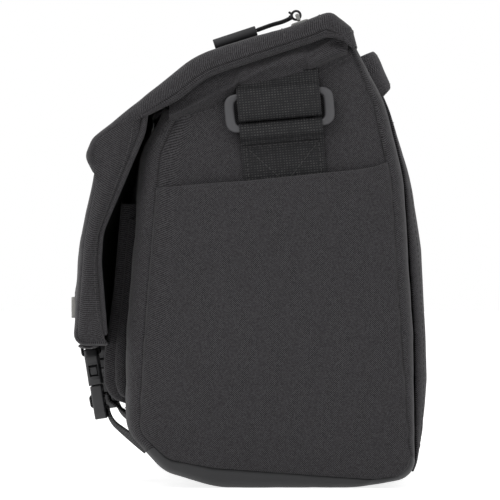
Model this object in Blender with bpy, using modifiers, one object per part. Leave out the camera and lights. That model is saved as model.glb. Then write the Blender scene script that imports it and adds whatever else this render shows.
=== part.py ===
"""A flap-top shoulder bag with a zip in its lid, modelled as its separate panels, straps and buckles.

Metres, +Z up. The bag's length runs along X, its front (the flap side) faces -Y and its back faces +Y.
The origin is on the underside of the base panel, under the middle of the end panels' base line.
"""

import math

import bmesh
import bpy
from mathutils import Matrix, Vector

MM = 0.001

# ---------------------------------------------------------------- driving dimensions
BAG_WIDTH = 380 * MM  # outside to outside of the two end panels
BODY_DEPTH = 160 * MM  # front seam to back seam at the base
BACK_HEIGHT = 266 * MM  # top edge of the back panel, where the flap is sewn on
FRONT_HEIGHT = 226 * MM  # top edge of the front panel
FRONT_TOP_SETBACK = 20 * MM  # how far the front panel's top leans back from the base seam
BACK_TOP_SETBACK = 34 * MM  # how far the back panel's top leans forward from the base seam
FRONT_BULGE = 10 * MM  # the front panel's crown outside its end seams
BACK_BULGE = 6 * MM
PANEL = 3 * MM  # foam-laminated wall panels
CLOTH = 2 * MM  # single pocket and collar cloth
EDGE_ROUND = 14 * MM  # how far from an end seam a wall panel reaches its full crown
GAP = 0.4 * MM  # between sewn neighbours

FLAP_OVERHANG = 8 * MM  # the flap is this much wider than the bag at each end
FLAP_PANEL = 3.2 * MM
FLAP_RISE = 20 * MM  # highest point of the lid above its hinge line
FLAP_DROP = 86 * MM  # height of the flap's lower edge over the floor
FLAP_BOTTOM_DEPTH = 19 * MM  # thickness of the stuffed flap pocket at its lower edge
LIP_DEPTH = 13 * MM  # the lid's turned-down edge at each end of its top
ROLL_LIP = 4 * MM  # and where it rolls over the flap's front corner
FLAP_EDGE_ROUND = 7 * MM
FLAP_CLOTH = 2.2 * MM  # backing, front and side walls of the flap pocket
FLAP_SIDE_INSET = 1.6 * MM
TAB_WEBBING = 1.2 * MM
BUCKLE_STRAP = 1.4 * MM

SIDE_POCKET_HEM = 188 * MM  # middle of the side pocket's slanted hem
SIDE_POCKET_SLOPE = math.radians(6.5)
SIDE_POCKET_BULGE = 7 * MM

WEBBING_WIDTH = 50 * MM  # shoulder strap and its anchors
WEBBING = 1.5 * MM
RING_TILT = math.radians(5)  # the anchor, ring and strap lean forward by this
RING_WIDTH = 66 * MM
RING_HEIGHT = 25 * MM
RING_BAR = 4 * MM
RING_CLEARANCE = 0.8 * MM
ANCHOR_FROM_BACK = 77 * MM  # middle of the anchor webbing, in front of the back seam
ANCHOR_FOOT = 60 * MM  # length of webbing sewn to the end panel below the ring
RING_BELOW_SADDLE = 40 * MM  # from the ring's lower bar up to where the strap crosses the collar
STRAP_UNDER_LID = 12 * MM  # how far under the lid's surface the strap presses the collar down
STRAP_END = 12 * MM  # free end of the strap above its ring
STRAP_FLOOR_Z = 9 * MM  # height of the stowed strap's lowest ply
STRAP_FOLD_LENGTH = 140 * MM
ADJUSTER_X = -118 * MM
ADJUSTER_LENGTH = 30 * MM
ADJUSTER_MARGIN = 4 * MM  # how far the adjuster stands out past each edge of the webbing
ADJUSTER_BAR = 5 * MM
ADJUSTER_THICK = 2 * MM

NARROW_WEBBING = 25 * MM  # flap straps
BUCKLE_SPACING = 220 * MM  # between the two flap buckles' centrelines
BUCKLE_TILT = math.radians(9)
BUCKLE_WIDTH = 33 * MM
BUCKLE_THICK = 8.4 * MM
SOCKET_LENGTH = 22.5 * MM
PLUG_BODY_LENGTH = 21 * MM
BUCKLE_WALL = 1.5 * MM
BUCKLE_CLEARANCE = 0.35 * MM
MOUTH_HEIGHT = 60.5 * MM

ZIP_LENGTH = 352 * MM
ZIP_TAPE_WIDTH = 24 * MM
ZIP_SLOT_WIDTH = 12 * MM
COIL_WIDTH = 6 * MM
COIL_HEIGHT = 2.4 * MM
ZIP_TAPE = 0.8 * MM
SLIDER_LENGTH = 14 * MM
SLIDER_WIDTH = 11 * MM
BAIL_LENGTH = 9 * MM
BAIL_DEPTH = 2.2 * MM
BAIL_BAR = 1.1 * MM
PULL_TUBE_LENGTH = 22 * MM
PULL_TUBE_RADIUS = 3 * MM
PULL_CORD_RADIUS = 0.9 * MM
PULL_LOOP_RADIUS = 2.3 * MM  # the cord's turn round the bail's bar

FRONT_POCKET_WIDTH = 320 * MM
FRONT_POCKET_DEPTH = 9.5 * MM
FRONT_POCKET_BOTTOM = 56 * MM
FRONT_POCKET_TOP = 170 * MM
FRONT_POCKET_CLOTH = 1.5 * MM
POCKET_STANDOFF = 1.0 * MM  # between the front panel and the pocket sewn on it
BACK_POCKET_WIDTH = 330 * MM
BACK_POCKET_ROOM = 7 * MM
BACK_POCKET_ROUND = 20 * MM
BACK_POCKET_BELOW_TOP = 36 * MM  # from the back panel's top edge down to the pocket's mouth

HANDLE_SPAN = 180 * MM
HANDLE_WIDTH = 27 * MM
HANDLE_THICK = 3.6 * MM
HANDLE_REACH = 9 * MM

LABEL_LENGTH = 20 * MM
LABEL_HEIGHT = 12.5 * MM
LABEL_THICK = 0.7 * MM
LABEL_RISE = 3.4 * MM
LABEL_FROM_END = 40 * MM
LABEL_OVER_HEM = 22.5 * MM

BOARD_THICK = 2 * MM
BOARD_FRONT_GAP = 56 * MM  # from the front seam to the stiffener board
BOARD_BACK_GAP = 32 * MM
BOARD_END_GAP = 5 * MM
SLEEVE_ROOM = 20 * MM  # for a notebook computer behind the padded divider
SLEEVE_THICK = 4 * MM
SLEEVE_END_GAP = 22 * MM
SLEEVE_OVER_BOARD = 8 * MM
SLEEVE_BELOW_TOP = 40 * MM

HALF = BAG_WIDTH / 2
FLAP_HALF = HALF + FLAP_OVERHANG
FRONT_SEAM = -BODY_DEPTH / 2
BACK_SEAM = BODY_DEPTH / 2
BACK_TOP_Y = BACK_SEAM - BACK_TOP_SETBACK
FRONT_TOP_Y = FRONT_SEAM + FRONT_TOP_SETBACK
HINGE = Vector((0, BACK_TOP_Y + 2.5 * MM, BACK_HEIGHT + GAP))

# World matrices that stand a flat XY outline up in the YZ or the XZ plane.
STAND_YZ = Matrix(((0, 0, 1), (1, 0, 0), (0, 1, 0))).to_4x4()
STAND_XZ = Matrix.Rotation(math.pi / 2, 4, "X")


# ---------------------------------------------------------------- scene and materials
def clear_scene():
    for old in list(bpy.data.objects):
        bpy.data.objects.remove(old)


def collection(name):
    made = bpy.data.collections.new(name)
    bpy.context.scene.collection.children.link(made)
    return made


def material(name, colour, roughness, metallic=0.0):
    made = bpy.data.materials.new(name)
    made.use_nodes = True
    shader = made.node_tree.nodes["Principled BSDF"]
    shader.inputs["Base Color"].default_value = (*colour, 1)
    shader.inputs["Roughness"].default_value = roughness
    shader.inputs["Metallic"].default_value = metallic
    return made


clear_scene()
PARTS = collection("flap_shoulder_bag")
CUTTERS = collection("cutters")
CUTTERS.hide_render = True

SHELL = material("shell_fabric", (0.042, 0.040, 0.043), 0.92)
LINING = material("lining_fabric", (0.03, 0.03, 0.032), 0.9)
COATED = material("coated_base_fabric", (0.036, 0.036, 0.038), 0.55)
STRAPPING = material("strap_webbing", (0.016, 0.016, 0.018), 0.8)
PLASTIC = material("buckle_plastic", (0.04, 0.04, 0.042), 0.45)
RING_PLASTIC = material("ring_plastic", (0.085, 0.083, 0.088), 0.5)
ZIP_METAL = material("zip_slider_metal", (0.5, 0.5, 0.48), 0.3, 1.0)
RUBBER = material("pull_rubber", (0.03, 0.03, 0.032), 0.7)
CORD = material("pull_cord", (0.012, 0.012, 0.013), 0.8)
LABEL = material("label_tape", (0.35, 0.35, 0.33), 0.7)
BOARD = material("stiffener_board", (0.05, 0.05, 0.05), 0.6)


# ---------------------------------------------------------------- modelling helpers
def add(name, data, finish, matrix=None):
    part = bpy.data.objects.new(name, data)
    PARTS.objects.link(part)
    if not data.materials:
        data.materials.append(finish)
    if matrix is not None:
        part.matrix_world = matrix
    return part


def fillet_path(corners, steps=4):
    """Points along an open path of (a, b, radius) corners; the first and last are plain ends."""
    points = [Vector(corners[0][:2])]
    for before, here, after in zip(corners, corners[1:], corners[2:]):
        corner, radius = Vector(here[:2]), here[2]
        back = (Vector(before[:2]) - corner).normalized()
        ahead = (Vector(after[:2]) - corner).normalized()
        half_turn = back.angle(ahead) / 2
        reach = radius / math.tan(half_turn)
        centre = corner + (back + ahead).normalized() * (radius / math.sin(half_turn))
        first, last = corner + back * reach - centre, corner + ahead * reach - centre
        swing = last.angle_signed(first)
        for step in range(steps + 1):
            points.append(centre + Matrix.Rotation(swing * step / steps, 2) @ first)
    points.append(Vector(corners[-1][:2]))
    return points


def offset_path(points, distance):
    """The same path moved sideways to its left by distance, corners mitred."""
    moved = []
    for index, point in enumerate(points):
        before = points[max(index - 1, 0)]
        after = points[min(index + 1, len(points) - 1)]
        left_in = (point - before).orthogonal().normalized() if index else None
        left_out = (after - point).orthogonal().normalized() if index < len(points) - 1 else None
        if left_in is None or left_out is None:
            moved.append(point + (left_in or left_out) * distance)
        else:
            mitre = (left_in + left_out).normalized()
            moved.append(point + mitre * (distance / max(mitre.dot(left_out), 0.3)))
    return moved


def strip(points, thickness):
    """Closed outline of a band of even thickness, centred on an open path."""
    return offset_path(points, thickness / 2) + offset_path(points, -thickness / 2)[::-1]


def extruded(name, outlines, depth, finish, matrix):
    """A flat outline, with any holes, extruded to the given depth and centred on its own plane."""
    curve = bpy.data.curves.new(name, "CURVE")
    curve.dimensions = "2D"
    curve.fill_mode = "BOTH"
    curve.extrude = depth / 2
    for outline in outlines:
        spline = curve.splines.new("POLY")
        spline.points.add(len(outline) - 1)
        spline.use_cyclic_u = True
        for point, place in zip(spline.points, outline):
            point.co = (place[0], place[1], 0, 1)
    return add(name, curve, finish, matrix)


def meshed(part):
    """Turns a curve part into a welded mesh part of the same name and place."""
    name, matrix, finish = part.name, part.matrix_world.copy(), part.data.materials[0]
    data = bpy.data.meshes.new_from_object(part.evaluated_get(bpy.context.evaluated_depsgraph_get()))
    work = bmesh.new()
    work.from_mesh(data)
    bmesh.ops.remove_doubles(work, verts=work.verts, dist=0.01 * MM)
    bmesh.ops.recalc_face_normals(work, faces=work.faces)
    work.to_mesh(data)
    work.free()
    bpy.data.objects.remove(part)
    data.name = name
    data.materials.clear()
    return add(name, data, finish, matrix)


def rounded(part, width, segments=2):
    """Rounds a part's sharp edges."""
    bevel = part.modifiers.new("rounded_edges", "BEVEL")
    bevel.width = width
    bevel.segments = segments
    bevel.limit_method = "ANGLE"
    bevel.angle_limit = math.radians(40)
    bevel.use_clamp_overlap = True
    return part


def box_mesh(name, size, matrix):
    data = bpy.data.meshes.new(name)
    work = bmesh.new()
    bmesh.ops.create_cube(work, size=1, matrix=matrix @ Matrix.Diagonal((*size, 1)))
    work.to_mesh(data)
    work.free()
    return data


def as_cutter(tool):
    CUTTERS.objects.link(tool)
    tool.display_type = "WIRE"
    tool.hide_render = True


def cut(part, name, size, matrix):
    """Cuts a box out of a part. The matrix places the box's centre."""
    cutter = bpy.data.objects.new(name, box_mesh(name, size, matrix))
    as_cutter(cutter)
    boolean = part.modifiers.new(name, "BOOLEAN")
    boolean.operation = "DIFFERENCE"
    boolean.object = cutter


def shell(name, rows, thickness, finish, side=1):
    """A sewn panel: a surface through rows of points, thickened to one side (1 is into the bag)."""
    data = bpy.data.meshes.new(name)
    work = bmesh.new()
    columns = len(rows[0])
    bmesh.ops.create_grid(work, x_segments=columns - 1, y_segments=len(rows) - 1, size=1)
    work.verts.ensure_lookup_table()
    for index, vert in enumerate(work.verts):
        vert.co = rows[index // columns][index % columns]
    work.to_mesh(data)
    work.free()
    part = add(name, data, finish)
    data.shade_smooth()
    thick = part.modifiers.new("thickness", "SOLIDIFY")
    thick.thickness = thickness
    thick.offset = side
    thick.use_even_offset = True
    thick.use_quality_normals = True
    return part


def crown_stations(half, round_length):
    """(x, crown share) across the bag: full in the middle and falling to the seam at each end."""
    shares = [(0, 1.0), (0.45, 0.893), (0.75, 0.661), (0.93, 0.368), (1, 0)]
    right = [(half - round_length * (1 - t), crown) for t, crown in shares]
    return [(-x, c) for x, c in right[::-1]] + [(0, 1.0)] + right


def between(seam, full, share):
    return seam + (full - seam) * share


def wall(name, seam, full, half, round_length, thickness, finish):
    """A wall panel lofted from its end seams (share 0) to its full section (share 1)."""
    rows = []
    for a, b in zip(seam, full):
        row = []
        for x, share in crown_stations(half, round_length):
            y, z = between(a, b, share)
            row.append((x, y, z))
        rows.append(row)
    return shell(name, rows, thickness, finish)


def trim(points, start, end):
    """The path with a length taken off its start and off its end."""
    points = [p.copy() for p in points]
    for length, first, second in ((start, 0, 1), (end, -1, -2)):
        way = points[second] - points[first]
        points[first] += way * (length / way.length)
    return points


# ---------------------------------------------------------------- the bag's section
# Corners (y, z, radius) run from the front panel's top, under the base, to the back panel's top.
FRONT_MID = 0.4 * FRONT_HEIGHT
BACK_MID = 0.35 * BACK_HEIGHT
BACK_UPPER = 0.7 * BACK_HEIGHT
SEAM_CORNERS = [
    (FRONT_TOP_Y, FRONT_HEIGHT, 0),
    (FRONT_SEAM + 9 * MM, FRONT_HEIGHT - 24 * MM, 30 * MM),
    (FRONT_SEAM, FRONT_MID, 150 * MM),
    (FRONT_SEAM - 3 * MM, 34 * MM, 16 * MM),
    (FRONT_SEAM + 15 * MM, 17 * MM, 16 * MM),
    (FRONT_SEAM + 42 * MM, 12 * MM, 40 * MM),
    (BACK_SEAM - 22 * MM, 5 * MM, 40 * MM),
    (BACK_SEAM + 2.5 * MM, 8 * MM, 13 * MM),
    (BACK_SEAM - 4 * MM, BACK_MID, 120 * MM),
    (BACK_SEAM - 10 * MM, BACK_UPPER, 120 * MM),
    (BACK_TOP_Y + 14 * MM, BACK_HEIGHT - 34 * MM, 60 * MM),
    (BACK_TOP_Y, BACK_HEIGHT, 0),
]
FULL_CORNERS = [
    (FRONT_TOP_Y - 0.7 * FRONT_BULGE, FRONT_HEIGHT + 3 * MM, 0),
    (FRONT_SEAM + 9 * MM - FRONT_BULGE, FRONT_HEIGHT - 24 * MM, 30 * MM),
    (FRONT_SEAM - FRONT_BULGE, FRONT_MID, 150 * MM),
    (FRONT_SEAM - FRONT_BULGE, 34 * MM, 20 * MM),
    (FRONT_SEAM + 12 * MM, 10 * MM, 24 * MM),
    (FRONT_SEAM + 44 * MM, 0, 60 * MM),
    (BACK_SEAM - 32 * MM, 0, 80 * MM),
    (BACK_SEAM + 4 * MM, 6 * MM, 13 * MM),
    (BACK_SEAM + 3 * MM, BACK_MID, 120 * MM),
    (BACK_SEAM - 9 * MM + BACK_BULGE, BACK_UPPER, 120 * MM),
    (BACK_TOP_Y + 20 * MM, BACK_HEIGHT - 34 * MM, 60 * MM),
    (BACK_TOP_Y + 2 * MM, BACK_HEIGHT, 0),
]
STEPS = 4
SEAM = fillet_path(SEAM_CORNERS, STEPS)
FULL = fillet_path(FULL_CORNERS, STEPS)


def fillet_end(corner):
    """Index of a section corner's last fillet point."""
    return corner * (STEPS + 1)


BASE_FRONT = fillet_end(3)
BASE_BACK = fillet_end(7)


def section_part(path, first, last, end_gap=0.7 * MM):
    start_gap = end_gap if first else 0
    stop_gap = end_gap if last < len(path) - 1 else 0
    return trim(path[first : last + 1], start_gap, stop_gap)


def body_panels():
    for name, first, last, finish in (
        ("front_panel", 0, BASE_FRONT, SHELL),
        ("base_panel", BASE_FRONT, BASE_BACK, COATED),
        ("back_panel", BASE_BACK, len(FULL) - 1, SHELL),
    ):
        wall(
            name,
            section_part(SEAM, first, last),
            section_part(FULL, first, last),
            HALF,
            EDGE_ROUND,
            PANEL,
            finish,
        )


def path_at_height(path, z, from_back=False):
    """Y where a front (or back) section path crosses a height."""
    pairs = list(zip(path, path[1:]))
    for a, b in pairs[::-1] if from_back else pairs:
        low, high = sorted((a.y, b.y))
        if low <= z <= high and high > low:
            return a.x + (b.x - a.x) * (z - a.y) / (b.y - a.y)
    raise ValueError("no crossing at that height")


INNER_SEAM = offset_path(SEAM, PANEL + GAP)
HEM_MIDDLE = Vector((BACK_TOP_Y - 24 * MM, BACK_HEIGHT - 14 * MM))
HEM_FRONT = Vector((FRONT_TOP_Y + 29 * MM, FRONT_HEIGHT + 7 * MM))


def end_panels():
    """The two end gussets, flat, with the slanted top hem of the mouth."""
    outline = INNER_SEAM + [HEM_MIDDLE, HEM_FRONT]
    for side, name in ((1, "end_panel_right"), (-1, "end_panel_left")):
        place = Matrix.Translation((side * (HALF - PANEL / 2), 0, 0)) @ STAND_YZ
        extruded(name, [outline], PANEL, SHELL, place)


COLLAR_X = HALF - PANEL - GAP - CLOTH / 2
SADDLE_EASE = 3 * MM  # the collar's dip is this much wider than the strap at each edge


def collars():
    """Soft ears inside each end that rise above the hem and tuck under the lid."""
    saddle_rise = WEBBING_WIDTH / 2 * math.sin(RING_TILT)
    saddle_front = SADDLE_Y - WEBBING_WIDTH / 2 - SADDLE_EASE
    saddle_back = SADDLE_Y + WEBBING_WIDTH / 2 + SADDLE_EASE
    outline = [
        (FRONT_TOP_Y + 8 * MM, FRONT_HEIGHT - 14 * MM),
        (HEM_MIDDLE.x, HEM_MIDDLE.y - 22 * MM),
        (BACK_TOP_Y - 8 * MM, BACK_HEIGHT - 20 * MM),
        (BACK_TOP_Y - 6 * MM, BACK_HEIGHT + 4 * MM),
        (saddle_back + 2 * MM, STRAP_SADDLE + saddle_rise + 14 * MM),
        (saddle_back, STRAP_SADDLE + saddle_rise),
        (saddle_front, STRAP_SADDLE - saddle_rise),
        (saddle_front - 3 * MM, STRAP_SADDLE - saddle_rise + 1 * MM),
        (FRONT_TOP_Y + 8 * MM, FRONT_HEIGHT + 10 * MM),
    ]
    for side, name in ((1, "end_collar_right"), (-1, "end_collar_left")):
        place = Matrix.Translation((side * COLLAR_X, 0, 0)) @ STAND_YZ
        extruded(name, [outline], CLOTH, LINING, place)


# ---------------------------------------------------------------- side pockets
def side_pockets():
    """Open-topped patch pockets on the end panels, bulging between their sewn edges."""
    margin = PANEL + 2 * MM
    front_wall = offset_path(SEAM, margin)
    hem_y = (FRONT_SEAM + BACK_SEAM) / 2
    levels, columns = 10, 9
    low = 21 * MM
    for side, name in ((1, "side_pocket_right"), (-1, "side_pocket_left")):
        rows = []
        for level in range(levels):
            rise = level / (levels - 1)
            row = []
            for column in range(columns):
                across = column / (columns - 1)
                guess = FRONT_SEAM + across * BODY_DEPTH
                hem = SIDE_POCKET_HEM + (guess - hem_y) * math.tan(SIDE_POCKET_SLOPE)
                z = low + (hem - low) * rise
                front = path_at_height(front_wall, z)
                back = path_at_height(front_wall, z, from_back=True)
                inset = 9 * MM * (1 - min(rise / 0.1, 1)) ** 2
                y = front + inset + (back - front - 2 * inset) * across
                belly = math.sin(math.pi * across) ** 0.7 * math.sin(math.pi / 2 * min(rise * 2.5, 1)) ** 0.8
                x = HALF + GAP + SIDE_POCKET_BULGE * belly
                row.append((side * x, y, z))
            rows.append(row)
        if side < 0:
            rows = [row[::-1] for row in rows]
        shell(name, rows, CLOTH, SHELL, side=1)


# ---------------------------------------------------------------- pockets on the front and the back
def front_pocket():
    """The flat organiser pocket that hangs on the front panel under the flap, open at its top."""
    cloth = FRONT_POCKET_CLOTH
    foot = path_at_height(FULL, FRONT_POCKET_BOTTOM)
    head = path_at_height(FULL, FRONT_POCKET_TOP)
    lean = Vector((head - foot, FRONT_POCKET_TOP - FRONT_POCKET_BOTTOM))
    out = Vector((-lean.y, lean.x)).normalized()
    base = Vector((foot, FRONT_POCKET_BOTTOM)) + out * POCKET_STANDOFF
    top = Vector((head, FRONT_POCKET_TOP)) + out * POCKET_STANDOFF
    up = lean.normalized() * cloth
    section = [
        base,
        base + out * FRONT_POCKET_DEPTH,
        top + out * FRONT_POCKET_DEPTH,
        top + out * (FRONT_POCKET_DEPTH - cloth),
        base + out * (FRONT_POCKET_DEPTH - cloth) + up,
        base + up,
    ]
    extruded("front_pocket", [section], FRONT_POCKET_WIDTH, SHELL, STAND_YZ)
    clear = out * 1.8 * MM
    deep = out * FRONT_POCKET_DEPTH
    side_section = [base + clear, base + deep, top + deep, top + clear]
    for side, name in ((1, "front_pocket_gusset_right"), (-1, "front_pocket_gusset_left")):
        x = side * (FRONT_POCKET_WIDTH / 2 + GAP + cloth / 2)
        extruded(name, [side_section], cloth, SHELL, Matrix.Translation((x, 0, 0)) @ STAND_YZ)


def back_pocket():
    """The slip pocket that covers most of the back panel."""
    first, last = BASE_BACK, len(FULL) - 1
    mouth = BACK_HEIGHT - BACK_POCKET_BELOW_TOP
    along = [p for p in section_part(FULL, first, last)[1:] if p.y < mouth]
    rows = []
    for index, point in enumerate(along):
        rise = index / (len(along) - 1)
        before, after = along[max(index - 1, 0)], along[min(index + 1, len(along) - 1)]
        way = (after - before).normalized()
        out = Vector((way.y, -way.x))
        row = []
        for x, share in crown_stations(BACK_POCKET_WIDTH / 2, BACK_POCKET_ROUND):
            room = BACK_POCKET_ROOM * share * min(rise * 4, 1)
            y, z = point + out * (GAP + room)
            row.append((x, y, z))
        rows.append(row)
    shell("back_pocket", rows, CLOTH, SHELL, side=-1)


# ---------------------------------------------------------------- flap
TOP_Z = BACK_HEIGHT + FLAP_RISE
ROLL_Y = FRONT_SEAM - 35 * MM
ROLL_Z = FRONT_HEIGHT - 26 * MM
KNEE_Y = FRONT_SEAM + 32 * MM
LID_CORNERS = [
    (HINGE.y, HINGE.z + GAP, 0),
    (HINGE.y - 3 * MM, HINGE.z + 11 * MM, 6 * MM),
    (HINGE.y - 16 * MM, TOP_Z + 1 * MM, 8 * MM),
    (KNEE_Y, FRONT_HEIGHT + 34.5 * MM, 60 * MM),
    (ROLL_Y + 4.5 * MM, ROLL_Z + 10.5 * MM, 10 * MM),
    (ROLL_Y, ROLL_Z - 0.5 * MM, 8 * MM),
    (ROLL_Y + 5 * MM, ROLL_Z - 10 * MM, 0),
]
LID = fillet_path(LID_CORNERS, STEPS)


def subdivided(path, longest):
    """The same path with its long stretches cut into shorter ones."""
    points = [path[0]]
    for a, b in zip(path, path[1:]):
        pieces = math.ceil((b - a).length / longest)
        points += [a + (b - a) * (k + 1) / pieces for k in range(pieces)]
    return points


def lip_depth(point):
    """How far the lid's end turns down: deep along the top, shallow at the roll and over the hinge."""
    from_roll = (point.x - (ROLL_Y + 14 * MM)) / (34 * MM)
    from_hinge = (HINGE.y - 16 * MM - point.x) / (20 * MM)
    share = max(0, min(from_roll, from_hinge, 1))
    return ROLL_LIP + (LIP_DEPTH - ROLL_LIP) * share


def lid_panel():
    """The lid: over the top of the bag and rolled over the flap's front corner, with a lip at each end."""
    path = subdivided(LID, 18 * MM)
    inner = offset_path(path, 1.0)
    rows = []
    for point, left in zip(path, inner):
        inward = (left - point).normalized()
        depth = lip_depth(point)
        round_in = min(FLAP_EDGE_ROUND, depth * 0.75)
        arc = [(math.sin(math.radians(a)), 1 - math.cos(math.radians(a))) for a in (0, 30, 60, 90)]
        right = [(FLAP_HALF - FLAP_EDGE_ROUND * (1 - s), round_in * d) for s, d in arc]
        right.append((FLAP_HALF, depth))
        row = []
        for x, drop in [(-x, d) for x, d in right[::-1]] + [(0, 0)] + right:
            y, z = point + inward * drop
            row.append((x, y, z))
        rows.append(row)
    return shell("flap_lid", rows, FLAP_PANEL, SHELL)


BACKING = fillet_path(
    [
        (FRONT_SEAM + 1 * MM, FRONT_HEIGHT + 2 * MM, 0),
        (FRONT_SEAM - 1 * MM, FRONT_HEIGHT - 12 * MM, 20 * MM),
        (FRONT_SEAM - 26 * MM, FRONT_HEIGHT - 72 * MM, 30 * MM),
        (FRONT_SEAM - 27 * MM, FRONT_HEIGHT - 90 * MM, 30 * MM),
        (FRONT_SEAM - 23 * MM, FLAP_DROP + 5 * MM, 0),
    ],
    STEPS,
)
FLAP_FRONT_TOP = LID[-1] + Vector((0.5 * MM, -1.5 * MM))
FLAP_FRONT = fillet_path(
    [
        (FLAP_FRONT_TOP.x, FLAP_FRONT_TOP.y, 0),
        (FLAP_FRONT_TOP.x - 8 * MM, FLAP_FRONT_TOP.y - 40 * MM, 60 * MM),
        (BACKING[-1].x - FLAP_BOTTOM_DEPTH, FLAP_DROP, 7 * MM),
        (BACKING[-1].x + 1 * MM, FLAP_DROP, 0),
    ],
    STEPS,
)


def flap_front():
    """The flap below its roll: a backing panel, a stuffed front and the two side walls between them."""
    backing_half = FLAP_HALF - FLAP_PANEL - 2 * GAP
    cloth = FLAP_CLOTH
    extruded("flap_backing", [strip(BACKING, cloth)], 2 * backing_half, LINING, STAND_YZ)
    seam = [p + Vector((3 * MM, 2 * MM if p.y < FLAP_DROP + 20 * MM else 0)) for p in FLAP_FRONT]
    wall("flap_front", seam, FLAP_FRONT, FLAP_HALF - 2 * MM, 7 * MM, cloth, SHELL)
    inner_front = offset_path(FLAP_FRONT, 6 * MM)
    front_edge = [p for p in inner_front if p.y > FLAP_DROP + 6 * MM and p.x < BACKING[-1].x - 8 * MM]
    low_front = Vector((front_edge[-1].x + 2 * MM, FLAP_DROP + 6.5 * MM))
    low_back = BACKING[-1] + Vector((-cloth, 3.5 * MM))
    backing_edge = [p for p in offset_path(BACKING, -(cloth / 2 + GAP)) if p.y > FLAP_DROP + 8 * MM]
    roll_edge = [p for p in offset_path(LID, FLAP_PANEL + 2.5 * MM) if p.x < FRONT_SEAM - 6 * MM]
    outline = roll_edge + front_edge + [low_front, low_back] + backing_edge[::-1]
    for side, name in ((1, "flap_side_right"), (-1, "flap_side_left")):
        x = side * (FLAP_HALF - FLAP_PANEL - FLAP_SIDE_INSET - cloth / 2)
        extruded(name, [outline], cloth, SHELL, Matrix.Translation((x, 0, 0)) @ STAND_YZ)


# ---------------------------------------------------------------- lid zip
ZIP_Y = HINGE.y - 34 * MM


def lid_frame(y):
    """(height, slope angle) of the lid's outer surface at a given Y on its top."""
    for a, b in zip(LID, LID[1:]):
        if b.x <= y <= a.x and a.y > BACK_HEIGHT:
            share = (a.x - y) / (a.x - b.x)
            return a.y + (b.y - a.y) * share, math.atan2(a.y - b.y, a.x - b.x)
    raise ValueError("the lid has no surface there")


ZIP_Z, ZIP_SLOPE = lid_frame(ZIP_Y)
ZIP_FRAME = Matrix.Translation((0, ZIP_Y, ZIP_Z)) @ Matrix.Rotation(ZIP_SLOPE, 4, "X")


def lid_zip(lid):
    """The zip let into the lid: tape under the slot, coil in it, slider over the coil."""
    slot = ZIP_FRAME @ Matrix.Translation((0, 0, -FLAP_PANEL / 2))
    cut(lid, "zip_slot", (ZIP_LENGTH, ZIP_SLOT_WIDTH, 4 * FLAP_PANEL), slot)
    tape_z = -FLAP_PANEL - 0.6 * MM - ZIP_TAPE / 2
    tape = ZIP_FRAME @ Matrix.Translation((0, 0, tape_z))
    tape_size = (ZIP_LENGTH + ZIP_SLOT_WIDTH, ZIP_TAPE_WIDTH, ZIP_TAPE)
    add("lid_zip_tape", box_mesh("lid_zip_tape", tape_size, tape), STRAPPING)
    coil_z = tape_z + ZIP_TAPE / 2 + GAP + COIL_HEIGHT / 2
    coil_length = ZIP_LENGTH - 4 * MM
    teeth, tooth_share = 44, 0.55
    pitch = coil_length / teeth
    crest, root = COIL_WIDTH / 2, COIL_WIDTH / 2 - 0.7 * MM
    outline = []
    for tooth in range(teeth):
        x = -coil_length / 2 + pitch * tooth
        flank = x + pitch * tooth_share
        outline += [(x, crest), (flank, crest), (flank, root), (x + pitch, root)]
    outline += [(x, -y) for x, y in outline[::-1]]
    place = ZIP_FRAME @ Matrix.Translation((0, 0, coil_z))
    extruded("lid_zip_coil", [outline], COIL_HEIGHT, STRAPPING, place)
    return coil_z + COIL_HEIGHT / 2


SLIDER_X = ZIP_LENGTH / 2 - SLIDER_LENGTH
SLIDER_ROOF = 1.4 * MM
SLIDER_SKIRT = 2.8 * MM  # from the slider's top down to its open lower edges


def zip_slider(coil_top):
    """A channel-shaped slider astride the coil, with a bail for the pull cord. Gives the bar's height."""
    leg = (SLIDER_WIDTH - COIL_WIDTH) / 2 - 1.1 * MM
    outer = SLIDER_WIDTH / 2
    roof = coil_top + GAP
    top = roof + SLIDER_ROOF
    section = [
        (-outer, top - 0.6 * MM),
        (-outer + 1 * MM, top),
        (outer - 1 * MM, top),
        (outer, top - 0.6 * MM),
        (outer, top - SLIDER_SKIRT),
        (outer - leg, top - SLIDER_SKIRT),
        (outer - leg, roof),
        (-outer + leg, roof),
        (-outer + leg, top - SLIDER_SKIRT),
        (-outer, top - SLIDER_SKIRT),
    ]
    place = ZIP_FRAME @ Matrix.Translation((SLIDER_X, 0, 0)) @ STAND_YZ
    extruded("zip_slider", [section], SLIDER_LENGTH, ZIP_METAL, place)
    foot = top + GAP
    bar_middle = foot + PULL_LOOP_RADIUS + PULL_CORD_RADIUS + 1.5 * GAP
    half, post = BAIL_LENGTH / 2, 1.6 * MM
    high, low = bar_middle + BAIL_BAR / 2 - foot, bar_middle - BAIL_BAR / 2 - foot
    arch = [(-half, 0), (-half, high), (half, high), (half, 0)]
    hole = [(post - half, GAP), (post - half, low), (half - post, low), (half - post, GAP)]
    bail_place = ZIP_FRAME @ Matrix.Translation((SLIDER_X, 0, foot)) @ STAND_XZ
    bail = meshed(extruded("zip_slider_bail", [arch, hole], BAIL_DEPTH, ZIP_METAL, bail_place))
    rounded(bail, 0.4 * MM, 1)
    return bar_middle


def smooth_route(route, pieces=4):
    """Points on a smooth curve through the route's own points."""
    smooth = []
    for index in range(len(route) - 1):
        p0, p1 = route[max(index - 1, 0)], route[index]
        p2, p3 = route[index + 1], route[min(index + 2, len(route) - 1)]
        for piece in range(pieces):
            t = piece / pieces
            square = 2 * p0 - 5 * p1 + 4 * p2 - p3
            cube = 3 * p1 - p0 - 3 * p2 + p3
            smooth.append((2 * p1 + (p2 - p0) * t + square * t**2 + cube * t**3) / 2)
    return smooth + [route[-1]]


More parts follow.
